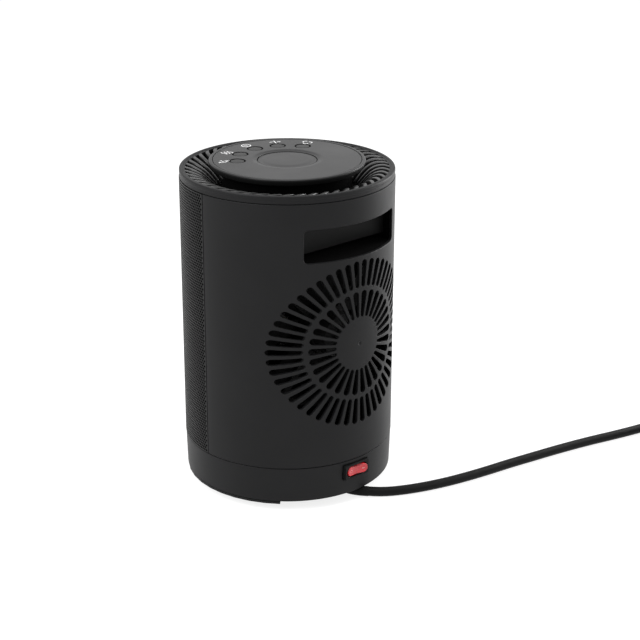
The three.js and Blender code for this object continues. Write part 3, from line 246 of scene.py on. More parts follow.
def printed_ink(name, dark, light):
    """Pad-printed ink, slightly uneven."""
    made = Shading(name)
    speck = made.noise(1500, 3.0)
    made.colors(made.spread(speck, 0, 1), dark, light)
    made.rough(speck, 0.45, 0.6)
    return made.material


def board_laminate():
    """Green board with lighter copper tracks under the lacquer."""
    made = Shading("board_laminate", Coat_Weight=0.3)
    brick = made.node(
        "ShaderNodeTexBrick", Scale=160, Mortar_Size=0.06, Color1=(0.012, 0.085, 0.035, 1),
        Color2=(0.014, 0.10, 0.04, 1), Mortar=(0.03, 0.19, 0.08, 1),
    )
    made.links.new(made.place, brick.inputs["Vector"])
    made.links.new(brick.outputs["Color"], made.shader.inputs["Base Color"])
    made.rough(made.noise(80), 0.3, 0.45)
    made.bump(brick.outputs["Fac"], 0.03)
    return made.material


FINISH = {
    "housing": moulded("housing_black", (0.0072, 0.0072, 0.0076), 0.44, specular=0.15),
    "disc": moulded("disc_black", (0.012, 0.012, 0.0124), 0.36, 0.012, 2600, 0.25),
    "keys": moulded("key_black", (0.006, 0.006, 0.006), 0.42, 0.012, 2600, 0.3),
    "vanes": moulded("vane_black", (0.006, 0.006, 0.006), 0.3, 0.01, 2600, 0.42),
    # painted shade: near-black finish put on faces where shade falls (vane hub, disc skirt, the recess's
    # undercut and end walls)
    "painted_shade": moulded("shadow_black", (0.0015, 0.0015, 0.0015), 0.8, 0.03, 1200, 0.03),
    # real black of the inner parts, also used as painted shade on the lower side of the disc's rim
    "inner": moulded("inner_black_and_painted_shade", (0.004, 0.004, 0.004), 0.6, 0.04, 1200, 0.1),
    "mesh": moulded("mesh_black", (0.005, 0.005, 0.005), 0.36, 0.02, 2400, 0.2),
    "rubber": moulded("rubber_black", (0.004, 0.004, 0.004), 0.6, 0.05, 1400, 0.1),
    "recess": moulded("recess_black", (0.005, 0.005, 0.005), 0.5, 0.03, 1500, 0.12),
    "glide": moulded("glide_natural", (0.62, 0.60, 0.55), 0.4, 0.01),
    "ceramic": moulded("ceramic_bisque", (0.30, 0.28, 0.24), 0.7, 0.04, 900, 0.3),
    "lead": lead_sheath(),
    "rocker": tinted_red(),
    "print": printed_ink("white_print", (0.62, 0.62, 0.62), (0.80, 0.80, 0.80)),
    "faint": printed_ink("faint_print", (0.55, 0.22, 0.22), (0.68, 0.32, 0.32)),
    "board": board_laminate(),
    "steel": plated("zinc_steel", (0.10, 0.10, 0.104), 0.5),
    "aluminium": plated("aluminium_foil", (0.26, 0.26, 0.27), 0.55),
    "motor": moulded("motor_lacquer", (0.006, 0.006, 0.006), 0.5, 0.02, 1500, 0.2),
    "brass": plated("brass_bright", (0.62, 0.47, 0.22), 0.26, (12, 1, 1)),
}


def finish_frame_nodes():
    """Gives every node of the frame the material of its own slot; the motors' cans are lacquered."""
    for part in frame["record"]["subparts"]:
        node = frame["nodes"][part["node"]]
        lacquered = part["node"] in ("fan_motor", "swing_motor")
        material = FINISH["motor" if lacquered else part["material_slot"]]
        if not node.material_slots:
            node.data.materials.append(material)
        for entry in node.material_slots:
            entry.material = material


# ---------------- outlines
def unit(vector):
    return vector / max(np.linalg.norm(vector), 1e-12)


def polar(radius, angle):
    return (radius * math.cos(angle), radius * math.sin(angle))


def rounded(corners, steps=5):
    """Points of a closed outline whose corners (x, y, radius) are rounded off."""
    points = []
    for i, corner in enumerate(corners):
        here = np.array(corner[:2], float)
        if len(corner) == 2:
            points.append(tuple(here))
            continue
        before = unit(np.array(corners[i - 1][:2]) - here)
        after = unit(np.array(corners[(i + 1) % len(corners)][:2]) - here)
        half = math.acos(np.clip(before @ after, -1, 1)) / 2
        centre = here + unit(before + after) * corner[2] / math.sin(half)
        start = here + before * corner[2] / math.tan(half) - centre
        turn = math.pi - 2 * half
        if start[0] * (here - centre)[1] - start[1] * (here - centre)[0] < 0:
            turn = -turn
        for step in range(steps + 1):
            c, s = polar(1, turn * step / steps)
            points.append(tuple(centre + (c * start[0] - s * start[1], s * start[0] + c * start[1])))
    return [p for p, q in zip(points, points[1:] + points[:1]) if math.dist(p, q) > 1e-4]


def box_outline(half_width, low, high, radius, steps=5):
    """Counterclockwise rectangle with round corners."""
    x = half_width
    return rounded([(-x, low, radius), (x, low, radius), (x, high, radius), (-x, high, radius)], steps)


def pill_outline(length, height, steps=10):
    return box_outline(length / 2, -height / 2, height / 2, height / 2, steps)


def arc(radius, start, end, steps=14, x=0.0, y=0.0):
    """Points of an arc about (x, y), from start to end in degrees."""
    spots = [polar(radius, angle) for angle in np.radians(np.linspace(start, end, steps))]
    return [(x + a, y + b) for a, b in spots]


def circle_outline(radius, x=0.0, y=0.0, steps=24):
    return arc(radius, 0, 360, steps + 1, x, y)[:-1]


def split_long(points, most):
    """The closed outline with its long straight runs split up."""
    result = []
    for here, there in zip(points, points[1:] + points[:1]):
        pieces = max(1, math.ceil(math.dist(here, there) / most))
        for k in range(pieces):
            result.append(tuple(h + (t - h) * k / pieces for h, t in zip(here, there)))
    return result


def slot_outline(ring, index, grow=0.0):
    """One radial intake slot in the plane of the grille, its ends rounded, grown all round."""
    near, far = ring["narrow"] / 2, ring["wide"] / 2
    x0, x1 = ring["start"] + near, ring["end"] - far
    side = 90 + math.degrees(math.asin((far - near) / (x1 - x0)))
    points = arc(far + grow, -side, side, 7, x1) + arc(near + grow, side, 360 - side, 5, x0)
    c, s = polar(1, 2 * math.pi * index / ring["count"])
    return [(c * x - s * y, s * x + c * y + FAN_HEIGHT) for x, y in split_long(points, 6.0)]


def edge_normals(points, closed=True):
    """Unit vectors out of the edges that start at the points of a counterclockwise outline."""
    p = np.array(points, float)
    edge = np.roll(p, -1, 0) - p
    if not closed:
        edge[-1] = edge[-2]
    return np.stack([edge[:, 1], -edge[:, 0]], 1) / np.linalg.norm(edge, axis=1, keepdims=True)


def outline_normals(points, closed=True):
    """Unit vectors out of the outline, at its points."""
    normal = edge_normals(points, closed)
    before = np.roll(normal, 1, 0)
    if not closed:
        before[0] = normal[0]
    both = normal + before
    return both / np.linalg.norm(both, axis=1, keepdims=True)


def grown(outline, by, closed=True):
    """The outline moved outwards."""
    return [tuple(np.array(p) + n * by) for p, n in zip(outline, outline_normals(outline, closed))]


def inside(outline, point):
    """Whether a point is inside a closed outline."""
    x, y = point
    odd = False
    for (x0, y0), (x1, y1) in zip(outline, outline[1:] + outline[:1]):
        if (y0 > y) != (y1 > y) and x < x0 + (y - y0) * (x1 - x0) / (y1 - y0):
            odd = not odd
    return odd


# ---------------- pieces
def add_piece(name, finish, shell, body="heater", sharp=38, normals=None, replaces=(), slot="housing"):
    """A mesh piece, drawn in millimetres, that rides on a body of the frame."""
    points, faces = shell
    mesh = bpy.data.meshes.new(name)
    mesh.from_pydata((np.array(points, float) * MM).tolist(), [], [list(map(int, f)) for f in faces])
    mesh.materials.append(FINISH[finish])
    mesh.shade_smooth()
    if normals is None:
        mesh.set_sharp_from_angle(angle=math.radians(sharp))
    else:
        mesh.normals_split_custom_set([tuple(n) for n in normals])
    piece = add_object(name, mesh)
    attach(piece, body)
    if replaces:
        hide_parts(*replaces)
    return piece


def finish_where(piece, finish, test):
    """A second finish on the faces that pass a test."""
    piece.data.materials.append(FINISH[finish])
    for face in piece.data.polygons:
        if test(face):
            face.material_index = 1


def merge(*shells):
    points, faces = [], []
    for shell_points, shell_faces in shells:
        start = len(points)
        points.extend(map(tuple, shell_points))
        faces.extend([tuple(start + i for i in face) for face in shell_faces])
    return points, faces


def moved(shell, offset, turn=0.0):
    """A shell turned about Z by degrees, then moved."""
    rotation = np.array(Matrix.Rotation(math.radians(turn), 3, "Z"))
    points = np.array(shell[0]) @ rotation.T + np.array(offset)
    return points.tolist(), shell[1]


def skin(rows, joined=False):
    """Faces over rows of points that are closed loops; the two ends are joined, or else capped."""
    width, total = len(rows[0]), len(rows) * len(rows[0])
    points = [point for row in rows for point in row]
    faces = []
    for start in range(0, total if joined else total - width, width):
        for k in range(width):
            a, b = start + k, start + (k + 1) % width
            faces.append((a, b, (b + width) % total, (a + width) % total))
    if not joined:
        faces += [tuple(reversed(range(width))), tuple(range(total - width, total))]
    return points, faces


def lathe(profile, segments=128):
    """Closed profile of (radius, height), counterclockwise, turned about Z."""
    columns, points, faces = [], [], []
    for r, z in profile:
        if r < 1e-6:
            columns.append([len(points)] * segments)
            points.append((0.0, 0.0, z))
            continue
        columns.append(range(len(points), len(points) + segments))
        points.extend((*polar(r, 2 * math.pi * k / segments), z) for k in range(segments))
    for first, second in zip(columns, columns[1:] + columns[:1]):
        for k in range(segments):
            n = (k + 1) % segments
            face = tuple(dict.fromkeys((first[k], first[n], second[n], second[k])))
            if len(face) > 2:
                faces.append(face)
    return points, faces


def prism(outline, low, high, bevel, steps=3):
    """An outline extruded along Z, its two rims rounded by insetting the outline."""
    angles = [math.pi / 2 * (1 - k / steps) for k in range(steps + 1)]
    levels = [(low + bevel * (1 - math.sin(a)), bevel * (1 - math.cos(a))) for a in angles]
    levels += [(low + high - z, inset) for z, inset in reversed(levels)]
    return skin([[(x, y, z) for x, y in grown(outline, -inset)] for z, inset in levels])


class Sheet:
    """A pierced sheet: a triangulated face and back, joined around each outline by a bevel and a wall.

    face and back give a point of the surface for (u, v); normal gives the face's normal.
    """

    def __init__(self, face, back, normal, clear=1.0):
        self.face, self.back, self.normal, self.clear = face, back, normal, clear
        self.loops = []

    def outline(self, rim, mid, back, side, closed=True, hole=False):
        """rim is 2-D; mid and back are 3-D points beside it, side the wall's normals there."""
        self.loops.append((rim, mid, back, side, closed, hole))

    def straight(self, outline, soften, axis, hole=False, depth=None):
        """A softened rim with a wall straight down from it, along the axis of that index."""
        sign = -1 if hole else 1
        rim = grown(outline, -soften * sign)
        drop = np.insert(np.zeros(2), axis, depth or soften)
        self.outline(
            rim, [np.array(self.face(*p)) - drop for p in outline],
            [self.back(*p) for p in outline],
            [np.insert(sign * n, axis, 0.0) for n in outline_normals(outline)], hole=hole,
        )
        return rim

    def build(self, grid):
        """The shell and its corner normals, with the points of the grid that are clear of edges."""
        flat, label, back, edges, starts = [], [], [], [], []
        for number, (rim, _, behind, _, closed, _) in enumerate(self.loops):
            start, count = len(flat), len(rim)
            starts.append(start)
            flat.extend(rim)
            back.extend(behind)
            label.extend([number] * count)
            edges.extend((start + k, start + (k + 1) % count) for k in range(count if closed else count - 1))
        corners = np.array([[flat[a], flat[b]] for a, b in edges])
        origin, along = corners[:, 0], corners[:, 1] - corners[:, 0]
        length2 = (along ** 2).sum(1)
        for point in grid:
            offset = np.array(point) - origin
            share = np.clip((offset * along).sum(1) / length2, 0, 1)
            if ((offset - along * share[:, None]) ** 2).sum(1).min() < self.clear ** 2:
                continue
            if any(hole and inside(rim, point) for rim, *_, hole in self.loops):
                continue
            flat.append(tuple(point))
            label.append(-1)
            back.append(self.back(*point))
        result = delaunay_2d_cdt([Vector(p) for p in flat], edges, [], 0, 1e-7)
        source = [ids[0] for ids in result[3]]
        triangles = [[source[i] for i in face] for face in result[2]]
        return self._assemble(flat, label, triangles, back, starts)

    def _assemble(self, flat, label, triangles, back, starts):
        points = [tuple(self.face(*p)) for p in flat] + [tuple(p) for p in back]
        normal = [np.array(self.normal(*p)) for p in flat]
        count = len(flat)
        faces, normals = [], []

        def put(face, face_normals):
            a, b, c = (np.array(points[i]) for i in face[:3])
            if np.cross(b - a, c - a) @ np.sum(face_normals, axis=0) < 0:
                face, face_normals = face[::-1], face_normals[::-1]
            faces.append(tuple(face))
            normals.extend(face_normals)

        for triangle in triangles:
            labels = {label[i] for i in triangle}
            if len(labels) == 1 and -1 not in labels:
                rim, *_, hole = self.loops[labels.pop()]
                if hole and inside(rim, np.mean([flat[i] for i in triangle], axis=0)):
                    continue
            out = [normal[i] for i in triangle]
            put(list(triangle), out)
            put([i + count for i in triangle], [-n for n in out])
        for (rim, mid, _, side, closed, _), start in zip(self.loops, starts):
            first = len(points)
            points.extend(map(tuple, mid))
            side = [np.array(n, float) for n in side]
            for k in range(len(rim) if closed else len(rim) - 1):
                n = (k + 1) % len(rim)
                tops = [normal[start + k], normal[start + n]]
                put([start + k, start + n, first + n, first + k], [*tops, side[n], side[k]])
                put([first + k, first + n, start + n + count, start + k + count],
                    [side[k], side[n], side[n], side[k]])
        return self._merge(points, faces), normals

    @staticmethod
    def _merge(points, faces):
        """Joins points that coincide, where a sheet closes on itself."""
        place, index, kept = {}, [], []
        for point in points:
            key = tuple(round(c, 4) for c in point)
            if key not in place:
                place[key] = len(kept)
                kept.append(point)
            index.append(place[key])
        return kept, [tuple(index[i] for i in face) for face in faces]


# ---------------- mains lead
def eased(share):
    return share * share * (3 - 2 * share)


def coil_points():
    """Two layers of turns, laid clockwise: inwards on the surface, then outwards on top of them."""
    points = [COIL_ENTRY]
    step = 1 / 24
    for k in range(round((LOWER_TURNS + UPPER_TURNS) / step) + 1):
        turns = k * step
        if turns <= LOWER_TURNS:
            radius = COIL_OUTER + (COIL_INNER - COIL_OUTER) * turns / LOWER_TURNS
            level = ON_FLOOR + COIL_LIFT * min(1, turns * 4)
        else:
            radius = COIL_INNER + (COIL_LAST - COIL_INNER) * (turns - LOWER_TURNS) / UPPER_TURNS
            rise = eased(min(1, (turns - LOWER_TURNS) / 0.35))
            level = ON_FLOOR + COIL_LIFT + (2 * LEAD_RADIUS - 0.35) * rise
        x, y = polar(radius, -math.pi / 2 - 2 * math.pi * turns)
        points.append((COIL_CENTRE[0] + x, COIL_CENTRE[1] + y, level))
    return points + COIL_EXIT


def smooth_line(points, spacing):
    """Points at an even spacing along a centripetal Catmull-Rom curve."""
    p = np.array(points, float)
    p = np.vstack([2 * p[0] - p[1], p, 2 * p[-1] - p[-2]])
    fine = []

    def mix(a, b, low, high, t):
        return ((high - t) * a + (t - low) * b) / (high - low)

    for a, b, c, d in zip(p, p[1:], p[2:], p[3:]):
        t0, t1 = 0.0, np.linalg.norm(b - a) ** 0.5
        t2 = t1 + np.linalg.norm(c - b) ** 0.5
        t3 = t2 + np.linalg.norm(d - c) ** 0.5
        for t in np.linspace(t1, t2, 24, endpoint=False):
            bc = mix(b, c, t1, t2, t)
            abc = mix(mix(a, b, t0, t1, t), bc, t0, t2, t)
            bcd = mix(bc, mix(c, d, t2, t3, t), t1, t3, t)
            fine.append(mix(abc, bcd, t1, t2, t))
    fine = np.array([*fine, p[-2]])
    length = np.concatenate([[0], np.cumsum(np.linalg.norm(np.diff(fine, axis=0), axis=1))])
    at = np.linspace(0, length[-1], max(2, round(length[-1] / spacing)) + 1)
    return np.stack([np.interp(at, length, fine[:, i]) for i in range(3)], 1)


def tube(line, radii, sides=24):
    """Closed tube of varying radius along a line of points."""
    rows = []
    for i, (centre, radius) in enumerate(zip(line, radii)):
        forward = unit(line[min(i + 1, len(line) - 1)] - line[max(i - 1, 0)])
        across = unit(np.cross((0, 0, 1), forward))
        up = np.cross(forward, across)
        spots = circle_outline(radius, steps=sides)
        rows.append([centre + across * a + up * b for a, b in spots])
    return skin(rows)


def strain_relief(line):
    """Smooth tapered sleeve on the lead, under an elbow that a collar holds on the base's floor."""
    taper = RELIEF_RADIUS - RELIEF_END
    radii = [RELIEF_END + taper * (1 - k / RELIEF_STEPS) ** 2 for k in range(RELIEF_STEPS)]
    sleeve = tube(line[:RELIEF_STEPS + 1], [*radii, LEAD_RADIUS + 0.02], 32)

    def block(past, low, high, corner):
        x, back, front = ELBOW["half"] + past, ELBOW["back"] - past, ELBOW["front"] + past
        return prism(box_outline(x, back, front, corner), low, high, 0.4)

    elbow = block(0, ELBOW["low"], ELBOW["high"] - 0.2, 2)
    collar = block(COLLAR["past"], ELBOW["high"] - COLLAR["thickness"], ELBOW["high"], 2.5)
    return add_piece("lead_relief", "rubber", merge(sleeve, elbow, collar), sharp=40,
                     replaces=["cord_relief"], slot="rubber")


def plug():
    """Flat two-pole plug with a waist, grip ribs and a ringed sleeve, its blades towards +X."""
    rows = []
    for share in np.linspace(0, 1, 41):
        waist = 1.7 * math.sin(math.pi * min(1, share / 0.85)) ** 2
        nose = max(0.0, (share - 0.93) / 0.07) ** 2 * 1.2
        tail = (1 - min(1, share / 0.22)) ** 2
        half_width = PLUG_HALF_WIDTH - waist - nose - 5.5 * tail
        half_height = PLUG_HALF_HEIGHT - 0.5 * waist - nose - 2.6 * tail
        ribbed = 0.25 < share < 0.72
        rib = 0.45 * (1 + math.cos(share * PLUG_LENGTH * 2 * math.pi / 2.6)) / 2 if ribbed else 0
        corner = min(half_height, half_width) * 0.72
        outline = box_outline(half_width - rib, -half_height, half_height, corner, 7)
        rows.append([(PLUG_LENGTH * share, y, z) for y, z in outline])
    last = 43
    line = np.array([(-19.5 + 0.5 * k, 0.0, 0.0) for k in range(last + 1)])
    radii = []
    for k in range(last + 1):
        rings = 0.5 * (0.5 - 0.5 * math.cos(k * 2 * math.pi / 7)) if 3 < k < 38 else 0
        radii.append(4.45 + 1.2 * k / last - rings)
    shell = moved(merge(skin(rows), tube(line, radii, 28)), PLUG_AT)
    return add_piece("lead_plug", "rubber", shell, sharp=40, replaces=["plug"], slot="rubber")


def coil_tie():
    """Hook-and-loop strap round the turns, its end lapped over the outside."""
    inner, outer, high = COIL_INNER - 4.9, COIL_OUTER + 4.8, 15.9
    section = split_long(rounded([
        (inner, 0.06, 0.4), (outer, 0.06, 0.4), (outer, 8.5, 3), (outer - 2.6, high, 3), (inner, high, 3),
    ], 6), 4)
    normal = outline_normals(section)

    def band(indices, levels, half):
        """Rows along the section at four corners of the strap's own section."""
        return [[(section[k][0] + normal[k][0] * level, side * half, section[k][1] + normal[k][1] * level)
                 for k in indices] for level, side in zip(levels, (-1, -1, 1, 1))]

    count = len(section)
    strap = skin(band(range(count), (-TIE["thick"], 0, 0, -TIE["thick"]), TIE["half"]), joined=True)
    first = next(k for k, (r, z) in enumerate(section) if z > 12)
    ends = [k % count for k in range(first, first + count // 3)]
    lapped = band(ends, (0.02, TIE["lap"], TIE["lap"], 0.02), TIE["half"] - 0.8)
    shell = moved(merge(strap, skin(list(zip(*lapped)))), (*COIL_CENTRE, 0), TIE["turn"])
    return add_piece("lead_tie", "rubber", shell, sharp=40, slot="rubber")


def mains_lead():
    line = smooth_line(LEAD_ROUTE + coil_points(), 5.0)
    curve = bpy.data.curves.new("mains_cable", "CURVE")
    curve.dimensions = "3D"
    curve.bevel_depth = LEAD_RADIUS * MM
    curve.bevel_resolution = 6
    curve.use_fill_caps = True
    spline = curve.splines.new("POLY")
    spline.points.add(len(line) - 1)
    for point, (x, y, z) in zip(spline.points, line):
        point.co = (x * MM, y * MM, z * MM, 1)
    curve.materials.append(FINISH["lead"])
    cable = add_object("mains_cable", curve)
    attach(cable, "heater")
    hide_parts("mains_lead", "lead_coil")
    relief = strain_relief(smooth_line(LEAD_ROUTE, 0.5))
    plug()
    coil_tie()


mains_lead()


# ---------------- round walls
def on_wall(radius, phi, z):
    return (radius * math.sin(phi), radius * math.cos(phi), z)


def along_y(radius, x, z, depth=0.0):
    """The point of a cylinder straight behind (x, z)."""
    return (x, math.sqrt(radius ** 2 - x ** 2) - depth, z)


def wall_normal(u, _v):
    return on_wall(1.0, u / BODY_RADIUS, 0.0)


def body_radius(_z):
    return BODY_RADIUS


def wall_edge(sheet, radius, inner, line, face, soft, closed=True):
    """The soft edge of a round wall along a line of (u, z)."""
    spots = [(u / BODY_RADIUS, z) for u, z in line]
    sheet.outline(
        face, [on_wall(radius(z) - soft, phi, z) for phi, z in spots],
        [on_wall(inner, phi, z) for phi, z in spots],
        [(n[0] * math.cos(phi), -n[0] * math.sin(phi), n[1])
         for n, (phi, _) in zip(outline_normals(line, closed), spots)],
        closed,
    )


def pierce(sheet, radius, inner, edge, face, depth):
    """An opening through a round wall, straight along Y; radius gives the outside for a height."""
    sheet.outline(
        [(BODY_RADIUS * math.asin(x / radius(z)), z) for x, z in face],
        [along_y(radius(z), x, z, depth) for x, z in edge],
        [along_y(inner, x, z) for x, z in edge],
        [(-n[0], 0.0, -n[1]) for n in outline_normals(edge)],
        hole=True,
    )


def shell_inside(u, z):
    """Inner surface, shifted so that the walls of the slots run straight along Y."""
    phi, limit = u / BODY_RADIUS, math.radians(58)
    edge = math.asin(BODY_RADIUS * math.sin(limit) / SHELL_INNER)
    if abs(phi) < limit:
        inner = math.asin(BODY_RADIUS * math.sin(phi) / SHELL_INNER)
    else:
        share = (abs(phi) - limit) / (math.pi / 2 - limit)
        inner = math.copysign(edge + (math.pi / 2 - edge) * share, phi)
    return on_wall(SHELL_INNER, inner, z)


def dimple(u, z):
    """Depth of the gate mark in the middle of the grille."""
    return 0.9 * max(0.0, 1 - math.hypot(u, z - FAN_HEIGHT) / 1.6)


def shell_normal(u, z):
    if not dimple(u, z):
        return wall_normal(u, z)
    reach = max(math.hypot(u, z - FAN_HEIGHT), 1e-6)
    return tuple(unit(np.array([-u / reach * 0.56, 1.0, -(z - FAN_HEIGHT) / reach * 0.56])))


def rear_shell():
    """Rear half of the body with the two rings of slots and the opening of the finger recess."""
    sheet = Sheet(lambda u, z: on_wall(BODY_RADIUS - dimple(u, z), u / BODY_RADIUS, z),
                  shell_inside, shell_normal)
    half, soft = BODY_RADIUS * math.pi / 2 - SEAM / 2, 0.45
    rim = split_long([(-half, BODY_LOW), (half, BODY_LOW), (half, BODY_HIGH), (-half, BODY_HIGH)], 3.6)
    face = [(min(max(u, soft - half), half - soft), min(max(z, BODY_LOW + soft), BODY_HIGH - soft))
            for u, z in rim]
    wall_edge(sheet, body_radius, SHELL_INNER, rim, face, soft)
    for ring in (INNER_SLOTS, OUTER_SLOTS):
        for index in range(ring["count"]):
            edge, face = slot_outline(ring, index), slot_outline(ring, index, 0.32)
            pierce(sheet, body_radius, SHELL_INNER, edge, face, 0.32)
    h = HANDLE
    edge = split_long(box_outline(h["half"], h["low"], h["high"], h["corner"]), 4.0)
    pierce(sheet, body_radius, SHELL_INNER, edge, grown(edge, 0.7), 0.7)
    columns, rows = 72, 27
    grid = [
        ((2 * half - 6) * (i / columns - 0.5), BODY_LOW + 4 + (BODY_HIGH - BODY_LOW - 8) * j / rows)
        for i in range(columns + 1) for j in range(rows + 1)
    ]
    grid = [(u, z) for u, z in grid if math.hypot(u, z - FAN_HEIGHT) > 3] + [(0.0, FAN_HEIGHT)]
    for r in (0.8, 1.55, 1.7):
        grid += circle_outline(r, 0.0, FAN_HEIGHT, 16)
    shell, normals = sheet.build(grid)
    add_piece("shell_rear", "housing", shell, normals=normals, replaces=["rear_shell"])


# ---------------- finger recess
def handle_pocket():
    """Hollow behind the handle opening: a back panel with a rolled lower edge over an undercut; the undercut
    and the end walls are painted shade black.
    """
    h, wall = HANDLE, POCKET_WALL
    half, low, high = h["half"] + 0.6, h["low"] - 0.5, h["high"] + 0.5
    path = rounded([
        (90, high), (POCKET_BACK, high, 2.5), (POCKET_BACK, POCKET_LIP, 1.1), (POCKET_DEPTH, POCKET_LIP, 0.6),
        (POCKET_DEPTH, low, 1.5), (90, low),
    ], 6)
    out = outline_normals(path, closed=False)
    out /= (out * edge_normals(path, closed=False)).sum(1, keepdims=True)

    def row(offset, x):
        rim = math.sqrt((SHELL_INNER - 0.35) ** 2 - x ** 2)
        return [(x, min(y, rim), z) for y, z in path + out * offset]

    xs = np.concatenate([[-half], np.linspace(-half + 1.4, half - 1.4, 41), [half]])
    rows = [row(0, x) for x in xs] + [row(wall, x) for x in (-half - wall, *xs[1:-1], half + wall)]
    points = [point for line in rows for point in line]
    columns, width = len(xs), len(path)
    base = columns * width
    faces = []
    for c in range(columns - 1):
        for k in range(width - 1):
            a, b = c * width + k, (c + 1) * width + k
            faces.append((a, b, b + 1, a + 1))
            faces.append((base + a, base + a + 1, base + b + 1, base + b))
        for k, turn in ((0, -1), (width - 1, 1)):
            a, b = c * width + k, (c + 1) * width + k
            faces.append((a, base + a, base + b, b)[::turn])
    for c, turn in ((0, 1), (columns - 1, -1)):
        front = tuple(range(c * width, (c + 1) * width))
        back = tuple(base + i for i in front)
        mouth = (front[0], front[-1], back[-1], back[0])
        faces += [front[::turn], back[::-turn], mouth[::-turn]]
    piece = add_piece("recess_shell", "recess", (points, faces), sharp=32, replaces=["handle_pocket"],
                      slot="inner")
    # painted shade: faces below the lip and the end walls get the near-black finish, standing in for the
    # shade deep in the recess
    lip = (POCKET_LIP + 0.6) * MM
    finish_where(piece, "painted_shade", lambda face: face.center.z < lip or abs(face.normal.x) > 0.9)


# ---------------- mesh front
def front_mesh():
    """Sheet with staggered round holes, bent round the front half of the body."""
    columns, rows, inset = MESH["columns"], MESH["rows"], MESH["inset"]
    low, high = BODY_LOW + SEAM, BODY_HIGH - SEAM
    half = BODY_RADIUS * math.pi / 2 - SEAM / 2
    left, right = inset - half, half - inset
    pitch = (right - left) / columns
    rise = (high - low - 2 * inset) / rows
    index, points, faces = {}, [], []

    def vertex(u, z, deep):
        key = (round(u, 3), round(z, 3), deep)
        if key not in index:
            index[key] = len(points)
            points.append(on_wall(BODY_RADIUS - MESH["thickness"] * deep, math.pi + u / BODY_RADIUS, z))
        return index[key]

    def plate(*corners):
        """A face of the sheet and of its back."""
        faces.append(tuple(vertex(u, z, 0) for u, z in reversed(corners)))
        faces.append(tuple(vertex(u, z, 1) for u, z in corners))

    def border(a, b, bottom, top):
        plate((a, bottom), (b, bottom), (b, top), (a, top))

    def wall(start, end):
        faces.append((vertex(*start, 0), vertex(*start, 1), vertex(*end, 1), vertex(*end, 0)))

    for j in range(rows):
        z = low + inset + rise * (j + 0.5)
        bottom, top = z - rise / 2, z + rise / 2
        shift = pitch / 2 if j % 2 else 0.0
        for i in range(columns if not j % 2 else columns - 1):
            u = left + pitch * (i + 0.5) + shift
            a, b = u - pitch / 2, u + pitch / 2
            rim = [(a, bottom), (u, bottom), (b, bottom), (b, z), (b, top), (u, top), (a, top), (a, z)]
            ring = circle_outline(MESH["hole"], u, z, 8)
            ring = ring[5:] + ring[:5]
            for k in range(8):
                n = (k + 1) % 8
                plate(rim[k], rim[n], ring[n], ring[k])
                wall(ring[n], ring[k])
        if j % 2:
            for a, b in ((left, left + pitch / 2), (right - pitch / 2, right)):
                plate((a, bottom), (b, bottom), (b, z), (b, top), (a, top), (a, z))
    steps = [left + pitch * k / 2 for k in range(2 * columns + 1)]
    levels = [low + inset + rise * k / 2 for k in range(2 * rows + 1)]
    for a, b in zip(steps, steps[1:]):
        border(a, b, low, levels[0])
        border(a, b, levels[-1], high)
    across = [-half, *steps, half]
    for a, b in zip(across, across[1:]):
        wall((b, low), (a, low))
        wall((a, high), (b, high))
    upwards = [low, *levels, high]
    for z0, z1 in zip(upwards, upwards[1:]):
        border(-half, left, z0, z1)
        border(right, half, z0, z1)
        wall((-half, z0), (-half, z1))
        wall((half, z1), (half, z0))
    add_piece("mesh_front", "mesh", (points, faces), sharp=40, replaces=["front_mesh"], slot="mesh")


# ---------------- base
def base_radius(z):
    return BASE_LOW_RADIUS + (BASE_HIGH_RADIUS - BASE_LOW_RADIUS) * (z - BASE_LOW) / (BASE_HIGH - BASE_LOW)


def at_switch(outline):
    """An outline drawn about the middle of the switch, moved to its place in x and z."""
    return [(x + SWITCH_AT[0], z + SWITCH_AT[1]) for x, z in outline]


def base_wall():
    """Outer wall of the base with the window of the switch."""
    soft, bevel, inner = 0.45, 0.4, BASE_INNER + 0.4
    sheet = Sheet(
        lambda u, z: on_wall(base_radius(z), u / BODY_RADIUS, z),
        lambda u, z: on_wall(inner, u / BODY_RADIUS, z), wall_normal,
    )
    around = np.linspace(-BODY_RADIUS * math.pi, BODY_RADIUS * math.pi, 145)
    for level, way in ((BASE_LOW, 1), (BASE_HIGH, -1)):
        line = [(u, level) for u in around[::way]]
        wall_edge(sheet, base_radius, inner, line, grown(line, -soft, closed=False), soft, closed=False)
    width, height = BEZEL[0] / 2 + BEZEL_GAP, BEZEL[1] / 2 + BEZEL_GAP
    window = split_long(at_switch(box_outline(width, -height, height, 1.0)), 3.0)
    pierce(sheet, base_radius, inner, window, grown(window, bevel), bevel)
    levels = np.linspace(BASE_LOW, BASE_HIGH, 6)[1:-1]
    shell, normals = sheet.build([(u, z) for u in around for z in levels])
    add_piece("base_wall", "housing", shell, normals=normals, replaces=["base_ring"])


def base_floor():
    """Floor of the base with its shoulder and the lip that centres the body, behind the wall."""
    shell = lathe([
        (8.0, FLOOR_LOW), (BASE_INNER + 0.35, FLOOR_LOW), (BASE_INNER + 0.35, BASE_HIGH - 1.2),
        (BASE_HIGH_RADIUS - 0.9, BASE_HIGH - 0.15), (76.9, BASE_HIGH - 0.15), (76.9, BASE_HIGH + 3),
        (75.5, BASE_HIGH + 3), (75.5, BASE_HIGH - 1), (BASE_INNER - 1, BASE_HIGH - 2.5),
        (BASE_INNER - 1, FLOOR_LOW + 2.4), (8.0, FLOOR_LOW + 2.4),
    ])
    add_piece("base_floor", "inner", shell)


